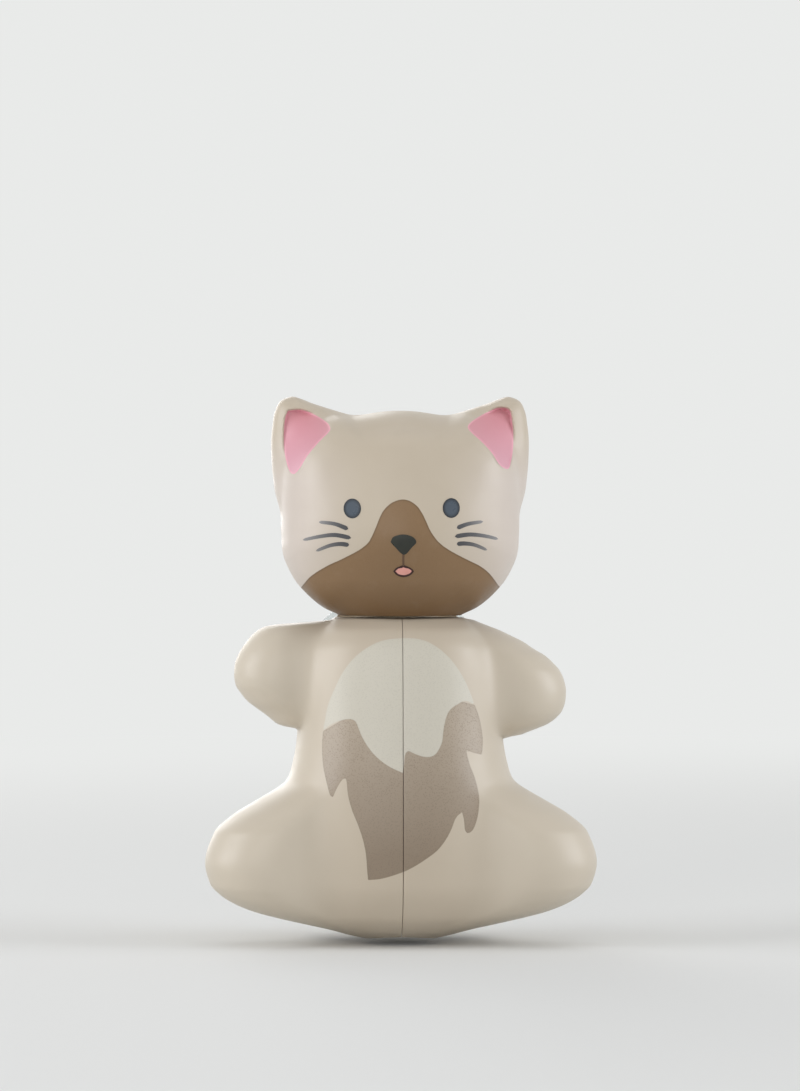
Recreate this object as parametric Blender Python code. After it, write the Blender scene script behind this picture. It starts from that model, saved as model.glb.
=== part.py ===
"""Cat-shaped toothbrush holder: two body halves swing open on upright pins below a fixed head.

Metres, +Z up, the face towards -Y, the wall at Y = 0. The origin is the suction cup's centre on the wall.
"""

import math

import bmesh
import bpy
from mathutils import Matrix, Vector

# Walls and fits
WALL = 0.0018
LINER_WALL = 0.0012
CLEARANCE = 0.0003
SEAM_GAP = 0.0003
OVERRUN = 0.003
WELD = 0.00003

# Body, measured from the cup's centre
BODY_TOP = 0.0129
BODY_BOTTOM = -0.0375
AXIS_Y = -0.025
TORSO_HALF_WIDTH = 0.0176
TORSO_FRONT = 0.0175
TORSO_BACK = 0.0155
# Height share from the bottom, then half-width, front and back shares
TORSO_SHARES = (
    (0.0, 0.24, 0.28, 0.30),
    (0.018, 0.42, 0.44, 0.50),
    (0.046, 0.64, 0.64, 0.70),
    (0.09, 0.86, 0.82, 0.88),
    (0.19, 0.98, 0.97, 0.97),
    (0.35, 1.0, 1.0, 1.0),
    (0.51, 0.97, 0.985, 1.0),
    (0.59, 0.928, 0.96, 1.0),
    (0.66, 0.909, 0.94, 1.0),
    (0.80, 0.90, 0.90, 1.0),
    (0.90, 0.85, 0.86, 1.0),
    (0.96, 0.74, 0.79, 0.97),
    (1.0, 0.58, 0.68, 0.90),
)
FRONT_ROUNDNESS = 2.3
BACK_ROUNDNESS = 3.2
BLEND_SHARPNESS = 18

# Arms: reach from the body's axis, and how far each one rises and drops from the height of its tip
ARM_REACH = 0.0259
ARM_HALF_DEPTH = 0.0070
ARM_FORWARD = 6
LEFT_ARM_HEIGHT = 0.0040
LEFT_ARM_RISE = 0.0084
LEFT_ARM_DROP = 0.0085
LEFT_ARM_RISE_SHARES = (
    (0.0, 1.0), (0.19, 0.996), (0.36, 0.977), (0.58, 0.934), (0.74, 0.892), (0.87, 0.834),
    (0.92, 0.784), (0.95, 0.695), (0.97, 0.60), (1.0, 0.40),
)
LEFT_ARM_DROP_SHARES = (
    (0.0, 1.0), (0.19, 0.99), (0.31, 0.965), (0.48, 0.919), (0.62, 0.857), (0.75, 0.795),
    (0.88, 0.737), (0.93, 0.70), (1.0, 0.58),
)
RIGHT_ARM_HEIGHT = 0.0014
RIGHT_ARM_RISE = 0.0112
RIGHT_ARM_DROP = 0.0073
RIGHT_ARM_RISE_SHARES = (
    (0.0, 1.0), (0.15, 0.988), (0.29, 0.961), (0.39, 0.923), (0.49, 0.876), (0.60, 0.795),
    (0.69, 0.737), (0.77, 0.664), (0.85, 0.587), (0.91, 0.513), (1.0, 0.40),
)
RIGHT_ARM_DROP_SHARES = (
    (0.0, 1.0), (0.19, 0.996), (0.41, 0.977), (0.56, 0.942), (0.70, 0.888), (0.79, 0.826),
    (0.88, 0.753), (0.945, 0.695), (1.0, 0.59),
)

# Legs
LEG_REACH = 0.0304
LEG_HALF_DEPTH = 0.0095
LEG_FORWARD = 18
LEG_HEIGHT = -0.0250
LEG_RISE = 0.0140
LEG_RISE_SHARES = (
    (0.0, 1.0), (0.21, 0.98), (0.34, 0.952), (0.43, 0.918), (0.52, 0.867), (0.59, 0.812),
    (0.66, 0.765), (0.70, 0.715), (0.76, 0.66), (0.80, 0.62), (0.90, 0.58), (1.0, 0.50),
)
LEG_DROP_SHARES = (
    (0.0, 1.0), (0.26, 0.974), (0.40, 0.92), (0.48, 0.877), (0.57, 0.806), (0.632, 0.72),
    (0.69, 0.643), (0.74, 0.566), (0.784, 0.49), (0.816, 0.41), (0.856, 0.35), (0.904, 0.283),
    (0.94, 0.23), (0.976, 0.17), (1.0, 0.10),
)
LIMB_ROUNDNESS = 2.5
LEAST_LIMB_SHARE = 0.3

# Head, about its own centre over the body
HEAD_CENTRE_Y = -0.026
HEAD_HALF_WIDTH = 0.0186
HEAD_FRONT = 0.0174
HEAD_BACK = 0.0145
HEAD_GAP = 0.0004
# Depth of the flat underside below the centre, as a share of the half-width
CHIN_DROP_SHARE = 0.844086
HEAD_ROUNDNESS = 2.5
# Angle above the horizontal, and radius as a share of the head's half-width
HEAD_SHARES = (
    (-90, 1.03), (-75, 1.0), (-59.4, 0.972), (-49.6, 0.995), (-39.3, 1.016), (-30.8, 1.038),
    (-21.5, 1.040), (-16.6, 1.032), (-9.8, 1.011), (0, 1.0), (10, 1.02), (20, 1.06), (32, 1.10),
    (44, 1.09), (55, 1.02), (64.2, 0.92), (72.8, 0.887), (81.9, 0.875), (90, 0.871),
)
EAR_SHARES = (
    (-5, 0.60), (2, 0.90), (10.5, 1.036), (15.6, 1.081), (20.3, 1.129), (25, 1.181), (30.3, 1.247),
    (35.1, 1.306), (39.3, 1.358), (45, 1.404), (47.3, 1.355), (49.6, 1.269), (51.6, 1.187),
    (53.9, 1.113), (56.6, 1.032), (60, 0.94), (66, 0.80), (72, 0.60),
)
EAR_HALF_DEPTH = 0.0062
EAR_ROUNDNESS = 3.0
EAR_HOLLOW_DEPTH = 0.0009
EAR_RISE = 0.0184
# Corners of the ear's hollow: share of the head's half-width, share of the ear's rise
EAR_HOLLOW_SHARES = (
    (0.927, 0.880), (0.828, 0.891), (0.726, 0.859), (0.618, 0.793), (0.575, 0.745), (0.581, 0.701),
    (0.656, 0.625), (0.758, 0.505), (0.828, 0.397), (0.876, 0.342), (0.919, 0.380), (0.952, 0.505),
    (0.962, 0.636), (0.952, 0.804),
)
MUZZLE_SWELL = 0.0016
MUZZLE_WIDTH_SHARE = 0.45
MUZZLE_HEIGHT_SHARE = 0.33
MUZZLE_DROP_SHARE = 0.20
HEAD_PART_SHARE = 0.12
HEAD_PLATE = 0.0016
HEAD_DIVISIONS = 13

# Hinges: two upright axes side by side behind the brush
HINGE_HALF_SPACING = 0.0060
HINGE_Y = -0.0160
PIN_RADIUS = 0.0010
PIN_HEAD_RADIUS = 0.0016
PIN_HEAD = 0.0006
# Rounded foot of a pin: radius and height
PIN_FOOT_SHARES = ((0.0, 0.0), (0.7, 0.0), (1.0, 0.4))
BARREL_RADIUS = 0.0025
BORE_RADIUS = 0.0013
BARREL_TOP = 0.0044
BARREL_BOTTOM = -0.0236
WEB = 0.0026

# Rear frame
FLANK_RADIUS = 0.0075
FLANK_WALL = 0.0011
PLATE = 0.0020
PLATE_HALF_WIDTH = 0.0065
FRAME_BOTTOM = -0.0340
COLLAR_TOP = 0.0144
COLLAR_HALF_WIDTH = 0.0095
SHOULDER_WIDTH = 0.0045
SHOULDER_DROP = 0.0024
LUG = 0.0023
LUG_RADIUS = 0.0033
FLANK_FRONT = 0.0010
TONGUE_HALF_WIDTH = 0.0050
TONGUE_TOP = 0.0325
KEYHOLE_DROP = 0.0085

# Brush chamber in the liners
CHAMBER_HALF_WIDTH = 0.0072
CHAMBER_FRONT = -0.0370
CHAMBER_BACK = -0.0210
CHAMBER_TOP = 0.0085
CHAMBER_BOTTOM = -0.0230
CHAMBER_CORNER = 0.0024
NECK_RADIUS = 0.0042
NECK_Y = -0.0272

# Gear sectors
GEAR_TEETH = 12
GEAR_MODULE = 0.0010
ADDENDUM_SHARE = 0.8
DEDENDUM_SHARE = 1.2
GEAR_BACKLASH = 0.0004
GEAR_TOP = -0.0140
GEAR_HEIGHT = 0.0060
GEAR_START = -18
GEAR_END = 50
# One tooth: radius between root and tip, and half-tooth angles from its middle, as shares
TOOTH_SHARES = ((0.0, -1.45), (0.6, -1.0), (1.0, -0.48), (1.0, 0.48), (0.6, 1.0), (0.0, 1.45))

# Toggle spring
POST_CIRCLE = 0.0046
POST_RADIUS = 0.00055
POST_CLOSED_ANGLE = -20
POST_TOP = 0.0107
POST_FOOT_MARGIN = 0.00011
SPRING_HEIGHT = 0.0094
SPRING_WIRE = 0.00040
SPRING_COIL_RADIUS = 0.0010
SPRING_PITCH = 0.00090
SPRING_TURNS = 18
SPRING_LOOP_GAP = 0.00045
SPRING_LOOP_SHIFT = 0.00015
BRACKET = 0.0014
BRACKET_TOP = 0.0070
COIL_POINTS = 8
LOOP_POINTS = 9
LOOP_START = 180
LOOP_SWEEP = 280

# Screws
SCREW_RADIUS = 0.0009
SCREW_HEAD_RADIUS = 0.0018
SCREW_HEAD = 0.0010
SCREW_SLOT = 0.00045
SCREW_BOSS_RADIUS = 0.0024
# Screw head's outline: radius and height above its seat
SCREW_HEAD_SHARES = ((0.0, 1.0), (0.8, 1.0), (1.0, 0.6), (1.0, 0.0))
LINER_SCREW = 0.0075
FRAME_SCREW = 0.0060
FACE_SCREW = 0.0060
ARM_SCREW_Y = -0.0275
LEG_SCREW_Y = -0.0300
LEG_SCREW_HEIGHT = -0.0205
FRAME_SCREW_LOWER = 0.0185
FRAME_SCREW_UPPER = 0.0275
FACE_SCREW_X = 0.0105
FACE_SCREW_HEIGHT = 0.0230
HEAD_PAD_HALF_WIDTH = 0.0062
HEAD_PAD_DEPTH = 0.0050

# Suction cup
CUP_RADIUS = 0.0168
CUP_RIM = 0.0022
CUP_EDGE = 0.0008
CUP_DOME = 0.0062
CUP_HOLLOW = 0.0024
CUP_SHOULDER_RADIUS = 0.0056
CUP_NECK_RADIUS = 0.0030
CUP_HEAD_RADIUS = 0.0038
CUP_HEAD = 0.0016
# Inside and outside of the cup: radius, then height of the hollow or of the dome
CUP_HOLLOW_SHARES = ((0.0, 1.0), (0.30, 0.95), (0.62, 0.66))
CUP_DOME_SHARES = ((0.80, 0.18), (0.60, 0.40), (0.42, 0.68), (0.295, 0.92))
CUP_HEAD_SHARES = ((1.0, 0.0), (1.0, 0.5), (0.7, 1.0), (0.0, 1.0))

SEAM = SEAM_GAP / 2
CHIN_HEIGHT = BODY_TOP + HEAD_GAP
HEAD_CENTRE_HEIGHT = CHIN_HEIGHT + CHIN_DROP_SHARE * HEAD_HALF_WIDTH
PLATE_BACK_Y = HINGE_Y + FLANK_RADIUS
PLATE_FRONT_Y = PLATE_BACK_Y - PLATE
WELL_FLOOR = CHAMBER_HALF_WIDTH + SCREW_HEAD + CLEARANCE
WELL_BACK = WELL_FLOOR + LINER_WALL
PART_Y = HEAD_CENTRE_Y + HEAD_PART_SHARE * HEAD_BACK
PAD_Y = PLATE_FRONT_Y - CLEARANCE
HOLE_RADIUS = SCREW_RADIUS + CLEARANCE / 2
SINK_RADIUS = SCREW_HEAD_RADIUS + CLEARANCE

SECTION_STEPS = 13
INNER_STEPS = 9
STEP_BEND = 1.3
# Rings up the body: lower leg, upper leg, waist, lower arm, upper arm
RING_STEPS = (8, 6, 2, 4, 6)
ROUND_SIDES = 32
SMALL_SIDES = 20
SCREW_SIDES = 16
HOLE_SIDES = 12
CORNER_STEPS = 3
SHARP_ANGLE = 35
INNER_DIVISIONS = HEAD_DIVISIONS * 2 // 3

CUT = "DIFFERENCE"
ADD = "UNION"
KEEP = "INTERSECT"

SIDES = {"left": -1, "right": 1}
ARMS = {
    "left": (LEFT_ARM_HEIGHT, LEFT_ARM_RISE, LEFT_ARM_DROP, LEFT_ARM_RISE_SHARES, LEFT_ARM_DROP_SHARES),
    "right": (RIGHT_ARM_HEIGHT, RIGHT_ARM_RISE, RIGHT_ARM_DROP, RIGHT_ARM_RISE_SHARES, RIGHT_ARM_DROP_SHARES),
}
LINER_SCREWS = {
    side: (("arm", ARM_SCREW_Y, ARMS[side][0]), ("leg", LEG_SCREW_Y, LEG_SCREW_HEIGHT)) for side in SIDES
}


def clear_scene():
    """Remove every object, so that the script can be run again in an open file."""
    for obj in list(bpy.data.objects):
        bpy.data.objects.remove(obj, do_unlink=True)


def material(name, colour, roughness, metallic=0.0, alpha=1.0):
    """A Principled BSDF material."""
    made = bpy.data.materials.new(name)
    made.use_nodes = True
    shader = made.node_tree.nodes["Principled BSDF"]
    shader.inputs["Base Color"].default_value = (*colour, 1.0)
    shader.inputs["Roughness"].default_value = roughness
    shader.inputs["Metallic"].default_value = metallic
    shader.inputs["Alpha"].default_value = alpha
    made.diffuse_color = (*colour, alpha)
    return made


def curve_through(table, at, column=1):
    """Value at a place on the smooth curve through a table's points, which never overshoots them."""
    xs = [row[0] for row in table]
    ys = [row[column] for row in table]
    at = min(max(at, xs[0]), xs[-1])
    last = len(xs) - 2
    index = next((i for i in range(last + 1) if at <= xs[i + 1]), last)
    slopes = [(ys[i + 1] - ys[i]) / (xs[i + 1] - xs[i]) for i in range(last + 1)]

    def tangent(i):
        if i == 0 or i == last + 1:
            return slopes[min(i, last)]
        before, after = slopes[i - 1], slopes[i]
        return 0.0 if before * after <= 0 else 2 * before * after / (before + after)

    width = xs[index + 1] - xs[index]
    t = (at - xs[index]) / width
    start, end = tangent(index) * width, tangent(index + 1) * width
    rise = ys[index + 1] - ys[index]
    return ys[index] + t * (start + t * (3 * rise - 2 * start - end + t * (start + end - 2 * rise)))


def smooth_largest(values):
    """The largest of the radii, with the crease between two of them rounded."""
    largest = max(values)
    total = sum((max(value, 0.0) / largest) ** BLEND_SHARPNESS for value in values)
    return largest * total ** (1 / BLEND_SHARPNESS)


def finish_object(name, mesh, finish, hidden=False):
    """Link a new object with its material; a hidden one is only a cutter or a guide."""
    obj = bpy.data.objects.new(name, mesh)
    bpy.context.scene.collection.objects.link(obj)
    if finish is not None:
        mesh.materials.append(finish)
    if hidden:
        obj.hide_render = True
        obj.display_type = "WIRE"
    return obj


def mesh_from(name, bm, smooth=True):
    """Close a bmesh into a mesh with outward faces."""
    bmesh.ops.recalc_face_normals(bm, faces=bm.faces)
    mesh = bpy.data.meshes.new(name)
    bm.to_mesh(mesh)
    bm.free()
    if smooth:
        mesh.shade_smooth()
        mesh.set_sharp_from_angle(angle=math.radians(SHARP_ANGLE))
    return mesh


def box_mesh(name, low, high, bevel=0.0):
    """A box between two corners, with its edges rounded if a bevel is given."""
    bm = bmesh.new()
    bmesh.ops.create_cube(bm, size=1)
    low, high = Vector(low), Vector(high)
    size, centre = high - low, (high + low) / 2
    bmesh.ops.scale(bm, vec=size, verts=bm.verts)
    bmesh.ops.translate(bm, vec=centre, verts=bm.verts)
    if bevel > 0:
        bmesh.ops.bevel(
            bm, geom=list(bm.edges), offset=bevel, offset_type="OFFSET", segments=CORNER_STEPS, profile=0.5,
            affect="EDGES", material=-1,
        )
    return mesh_from(name, bm)


def cylinder_mesh(name, radius, start, end, sides=SMALL_SIDES):
    """A cylinder from one point to another."""
    start, end = Vector(start), Vector(end)
    bm = bmesh.new()
    bmesh.ops.create_cone(
        bm, cap_ends=True, segments=sides, radius1=radius, radius2=radius, depth=(end - start).length,
    )
    turn = (end - start).to_track_quat("Z", "Y").to_matrix().to_4x4()
    bmesh.ops.transform(bm, matrix=Matrix.Translation((start + end) / 2) @ turn, verts=bm.verts)
    return mesh_from(name, bm)


def prism_mesh(name, outline, direction):
    """An outline of points extruded along a direction."""
    bm = bmesh.new()
    face = bm.faces.new([bm.verts.new(point) for point in outline])
    grown = bmesh.ops.extrude_face_region(bm, geom=[face], use_keep_orig=True)["geom"]
    moved = [item for item in grown if isinstance(item, bmesh.types.BMVert)]
    bmesh.ops.translate(bm, vec=direction, verts=moved)
    return mesh_from(name, bm)


def turned_mesh(name, profile, centre, axis, sides=ROUND_SIDES):
    """A profile of (radius, distance along the axis) turned about an axis through a centre."""
    bm = bmesh.new()
    points = [bm.verts.new((radius, 0, along)) for radius, along in profile]
    edges = [bm.edges.new(pair) for pair in zip(points, points[1:])]
    bmesh.ops.spin(
        bm, geom=points + edges, cent=(0, 0, 0), axis=(0, 0, 1), angle=2 * math.pi, steps=sides,
        use_merge=True, use_duplicate=False,
    )
    bmesh.ops.remove_doubles(bm, verts=bm.verts, dist=WELD)
    turn = Vector(axis).to_track_quat("Z", "Y").to_matrix().to_4x4()
    bmesh.ops.transform(bm, matrix=Matrix.Translation(centre) @ turn, verts=bm.verts)
    return mesh_from(name, bm)


def upright(name, radius, centre, low, high, sides=SMALL_SIDES):
    """A standing cylinder about a place seen from above."""
    return cylinder_mesh(name, radius, (centre[0], centre[1], low), (centre[0], centre[1], high), sides)


def guide(name, mesh, tools=()):
    """A hidden object that shapes others, worked by its own tools first."""
    return combine(finish_object(name, mesh, None, hidden=True), tools)


def combine(target, tools):
    """Add Boolean modifiers: pairs of an operation and a mesh or an object."""
    for operation, tool in tools:
        if isinstance(tool, bpy.types.Mesh):
            tool = guide(f"{target.name}_{tool.name}", tool)
        modifier = target.modifiers.new(tool.name, "BOOLEAN")
        modifier.operation = operation
        modifier.object = tool
        modifier.solver = "EXACT"
    return target


def rounded_radius(across, along, power):
    """Radius at which a direction leaves a form between an oval and a rounded box."""
    return (abs(across) ** power + abs(along) ** power) ** (-1 / power)


def limb_radius(angle, reach, half_depth, forward):
    """Radius of a round-ended bar that lies along the forward angle, seen from the body's axis."""
    off = angle + math.radians(forward)
    centre = (reach - half_depth) / math.cos(math.radians(forward))
    if math.cos(off) <= 0:
        return half_depth
    across = abs(math.sin(off))
    if across * centre >= half_depth * math.cos(off):
        return half_depth / max(across, half_depth / (centre + half_depth))
    return centre * math.cos(off) + math.sqrt(max(half_depth**2 - (centre * across) ** 2, 0.0))


def limb_at(height, tip, rise, drop, rise_shares, drop_shares, reach, half_depth, inset):
    """Reach and half-depth of a limb at one height, or None above or below it."""
    rise, drop = rise - inset, drop - inset
    share = (height - tip) / rise if height >= tip else (tip - height) / drop
    if share > 1:
        return None
    out = curve_through(rise_shares if height >= tip else drop_shares, share) * reach - inset
    deep = (half_depth - inset) * max(1 - share**LIMB_ROUNDNESS, 0.0) ** (1 / LIMB_ROUNDNESS)
    return out, max(deep, LEAST_LIMB_SHARE * min(half_depth - inset, out))


def section_radius(side, angle, height, inset):
    """Radius of the body's section at an angle from the sideways direction, - forward, + back."""
    low, high = BODY_BOTTOM + inset, BODY_TOP - inset
    share = (height - low) / (high - low)
    width = curve_through(TORSO_SHARES, share, 1) * TORSO_HALF_WIDTH - inset
    front = curve_through(TORSO_SHARES, share, 2) * TORSO_FRONT - inset
    back = curve_through(TORSO_SHARES, share, 3) * TORSO_BACK - inset
    depth, power = (front, FRONT_ROUNDNESS) if angle < 0 else (back, BACK_ROUNDNESS)
    radii = [rounded_radius(math.cos(angle) / width, math.sin(angle) / depth, power)]
    arm_height, rise, drop, rise_shares, drop_shares = ARMS[side]
    arm = limb_at(
        height, arm_height, rise, drop, rise_shares, drop_shares, ARM_REACH, ARM_HALF_DEPTH, inset,
    )
    leg_drop = LEG_HEIGHT - BODY_BOTTOM
    leg = limb_at(
        height, LEG_HEIGHT, LEG_RISE, leg_drop, LEG_RISE_SHARES, LEG_DROP_SHARES, LEG_REACH,
        LEG_HALF_DEPTH, inset,
    )
    if arm:
        radii.append(limb_radius(angle, *arm, ARM_FORWARD))
    if leg:
        radii.append(limb_radius(angle, *leg, LEG_FORWARD))
    return smooth_largest(radii)


def eased(start, end, steps, dense_end):
    """Heights from start to end, closer together near one of them."""
    for step in range(steps):
        share = step / steps
        bent = math.sin(math.pi / 2 * share) if dense_end else 1 - math.cos(math.pi / 2 * share)
        yield start + (end - start) * bent


def ring_heights(side, inset):
    """Heights of the body's rings, close together where a limb closes."""
    tip, rise, drop = ARMS[side][:3]
    low, high = BODY_BOTTOM + inset, BODY_TOP - inset
    waist_low, waist_high = LEG_HEIGHT + LEG_RISE - inset, tip - drop + inset
    shoulder = tip + rise - inset
    places = (low, LEG_HEIGHT, waist_low, waist_high, tip, shoulder)
    dense_ends = (False, True, True, False, True)
    for start, end, steps, dense_end in zip(places, places[1:], RING_STEPS, dense_ends):
        yield from eased(start, end, steps, dense_end)
    yield shoulder
    yield high


def body_half_mesh(name, side, inset, seam, steps=SECTION_STEPS):
    """One half of the body's form, drawn in by an inset, with its flat side at the seam."""
    rings = []
    for height in ring_heights(side, inset):
        ring = []
        for step in range(-steps, steps + 1):
            share = step / steps
            angle = math.copysign(math.pi / 2 * abs(share) ** STEP_BEND, share)
            radius = section_radius(side, angle, height, inset)
            x = seam if abs(step) == steps else radius * math.cos(angle)
            ring.append((SIDES[side] * x, AXIS_Y + radius * math.sin(angle), height))
        rings.append(ring)
    bm = bmesh.new()
    made = [[bm.verts.new(point) for point in ring] for ring in rings]
    for lower, upper in zip(made, made[1:]):
        for i, j in zip(range(len(lower)), [*range(1, len(lower)), 0]):
            bm.faces.new((lower[i], lower[j], upper[j], upper[i]))
    bm.faces.new(made[0])
    bm.faces.new(made[-1])
    bmesh.ops.recalc_face_normals(bm, faces=bm.faces)
    bmesh.ops.triangulate(bm, faces=bm.faces)
    return mesh_from(name, bm)


def head_radius(direction, inset):
    """Distance of the head's surface from its centre, in one direction."""
    across = math.hypot(direction.x, direction.z)
    rise = math.degrees(math.atan2(direction.z, abs(direction.x)))
    depth = (HEAD_FRONT if direction.y < 0 else HEAD_BACK) - inset
    base = curve_through(HEAD_SHARES, rise) * HEAD_HALF_WIDTH - inset
    radii = [rounded_radius(across / base, direction.y / depth, HEAD_ROUNDNESS)]
    if EAR_SHARES[0][0] < rise < EAR_SHARES[-1][0]:
        ear = curve_through(EAR_SHARES, rise) * HEAD_HALF_WIDTH - inset
        radii.append(rounded_radius(across / ear, direction.y / (EAR_HALF_DEPTH - inset), EAR_ROUNDNESS))
    radius = smooth_largest(radii)
    if direction.y < 0:
        wide = direction.x / MUZZLE_WIDTH_SHARE
        high = (direction.z + MUZZLE_DROP_SHARE) / MUZZLE_HEIGHT_SHARE
        radius += MUZZLE_SWELL * math.exp(-(wide**2) - high**2)
    return radius


def head_mesh(name, inset, divisions=HEAD_DIVISIONS):
    """The whole head's form, drawn in by an inset and not yet cut at the chin."""
    bm = bmesh.new()
    bmesh.ops.create_cube(bm, size=2)
    bmesh.ops.subdivide_edges(bm, edges=bm.edges, cuts=divisions - 1, use_grid_fill=True)
    centre = Vector((0, HEAD_CENTRE_Y, HEAD_CENTRE_HEIGHT))
    for vert in bm.verts:
        direction = Vector(math.tan(axis * math.pi / 4) for axis in vert.co).normalized()
        vert.co = centre + direction * head_radius(direction, inset)
    bmesh.ops.triangulate(bm, faces=bm.faces)
    return mesh_from(name, bm)


def screw_object(name, seat, direction, length, finish):
    """A slotted pan-head screw; the seat is the middle of the underside of its head."""
    head = [(radius * SCREW_HEAD_RADIUS, -height * SCREW_HEAD) for radius, height in SCREW_HEAD_SHARES]
    profile = [*head, (SCREW_RADIUS, 0), (SCREW_RADIUS, length - SCREW_RADIUS), (0, length)]
    screw = finish_object(name, turned_mesh(name, profile, seat, direction, SCREW_SIDES), finish)
    along = Vector(direction).normalized()
    side = along.orthogonal().normalized()
    reach = side * (SCREW_HEAD_RADIUS + CLEARANCE)
    half = along.cross(side) * (SCREW_SLOT / 2)
    top = Vector(seat) - along * (SCREW_HEAD + CLEARANCE)
    corners = [top - reach - half, top + reach - half, top + reach + half, top - reach + half]
    slot = prism_mesh("slot", corners, along * (CLEARANCE + SCREW_SLOT))
    return combine(screw, [(CUT, slot)])


def gear_outline(side, height):
    """Outline of one gear sector about its axis, with its teeth meeting the other one at the seam."""
    pitch = GEAR_MODULE * GEAR_TEETH / 2
    tip, root = pitch + ADDENDUM_SHARE * GEAR_MODULE, pitch - DEDENDUM_SHARE * GEAR_MODULE
    step = 2 * math.pi / GEAR_TEETH
    phase = 0.0 if side == "right" else step / 2
    first, last = math.radians(GEAR_START), math.radians(GEAR_END)
    half_tooth = step / 4 - GEAR_BACKLASH / 2 / pitch
    points = [(root, first - half_tooth), (root, last + half_tooth)]
    for tooth in range(-1, GEAR_TEETH // 4):
        middle = tooth * step + phase
        if first - half_tooth / 2 <= middle <= last:
            points += [(root + share * (tip - root), middle + off * half_tooth) for share, off in TOOTH_SHARES]
    points.sort(key=lambda point: point[1])
    sign = SIDES[side]
    outline = [(sign * HINGE_HALF_SPACING, HINGE_Y, height)]
    for radius, angle in points:
        across = HINGE_HALF_SPACING - radius * math.cos(angle)
        outline.append((sign * across, HINGE_Y + radius * math.sin(angle), height))
    return outline


def build_shell(side, finish):
    """Outer shell of one body half: hollow, open at the seam, cut clear of the frame's flank."""
    sign = SIDES[side]
    name = f"{side}_shell"
    shell = finish_object(name, body_half_mesh(name, side, 0.0, SEAM), finish)
    mid_wall = guide(f"{side}_mid_wall", body_half_mesh("mid_wall", side, WALL / 2, -OVERRUN, INNER_STEPS))
    tools = [(CUT, body_half_mesh("hollow", side, WALL, -OVERRUN, INNER_STEPS))]
    boss_start = WELL_BACK + CLEARANCE
    for label, y, height in LINER_SCREWS[side]:
        start, end = (sign * boss_start, y, height), (sign * LEG_REACH, y, height)
        boss = cylinder_mesh("boss", SCREW_BOSS_RADIUS, start, end, SCREW_SIDES)
        tools.append((ADD, guide(f"{side}_{label}_boss", boss, [(KEEP, mid_wall)])))
        mouth, floor = (sign * WELL_BACK, y, height), (sign * (boss_start + LINER_SCREW), y, height)
        tools.append((CUT, cylinder_mesh(f"{label}_hole", HOLE_RADIUS, mouth, floor, HOLE_SIDES)))
    axis_x = sign * HINGE_HALF_SPACING
    low, high = BODY_BOTTOM - OVERRUN, BODY_TOP + OVERRUN
    near, far = (-sign * OVERRUN, NECK_Y, low), (axis_x / 2, 0, high)
    neck = NECK_RADIUS + LINER_WALL + CLEARANCE
    tools += [
        (CUT, upright("flank_cut", FLANK_RADIUS + CLEARANCE, (axis_x, HINGE_Y), low, high, ROUND_SIDES)),
        (CUT, upright("neck_cut", neck, (0, NECK_Y), low, CHAMBER_BOTTOM, ROUND_SIDES)),
        (CUT, box_mesh("rear_cut", map(min, near, far), map(max, near, far))),
    ]
    return combine(shell, tools)


def side_box(name, side, x_range, y_range, z_range, bevel=0.0):
    """A box given by ranges, with its x range measured outwards from the seam."""
    across = sorted(SIDES[side] * x for x in x_range)
    low, high = zip(across, y_range, z_range)
    return box_mesh(name, low, high, bevel)


def post_place(side):
    """Where a spring post stands while the halves are shut, seen from above."""
    angle = math.radians(POST_CLOSED_ANGLE)
    out = HINGE_HALF_SPACING + POST_CIRCLE * math.cos(angle)
    return SIDES[side] * out, HINGE_Y + POST_CIRCLE * math.sin(angle)


def post_bracket(side):
    """Arm that carries a spring post, rounded to turn inside the frame's flank."""
    post_x, post_y = post_place(side)
    margin = POST_RADIUS + POST_FOOT_MARGIN
    bracket = side_box(
        "bracket", side, (CHAMBER_HALF_WIDTH, abs(post_x) + margin),
        (CHAMBER_BACK - LINER_WALL, post_y + margin), (BRACKET_TOP - BRACKET, BRACKET_TOP),
    )
    axis = (SIDES[side] * HINGE_HALF_SPACING, HINGE_Y)
    inside = FLANK_RADIUS - FLANK_WALL - CLEARANCE
    swept = upright("swept", inside, axis, BRACKET_TOP - BRACKET - OVERRUN, BRACKET_TOP + OVERRUN, ROUND_SIDES)
    return guide(f"{side}_bracket", bracket, [(KEEP, swept)])


def brush_space(side):
    """Room for the brush's head, kept a wall's thickness inside the liner's outline."""
    hollow = side_box(
        "brush_space", side, (-CHAMBER_HALF_WIDTH, CHAMBER_HALF_WIDTH), (CHAMBER_FRONT, CHAMBER_BACK),
        (CHAMBER_BOTTOM, CHAMBER_TOP), CHAMBER_CORNER - LINER_WALL,
    )
    form = body_half_mesh("form", side, WALL + CLEARANCE + LINER_WALL, -OVERRUN, INNER_STEPS)
    return guide(f"{side}_space", hollow, [(KEEP, guide(f"{side}_space_form", form))])


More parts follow.
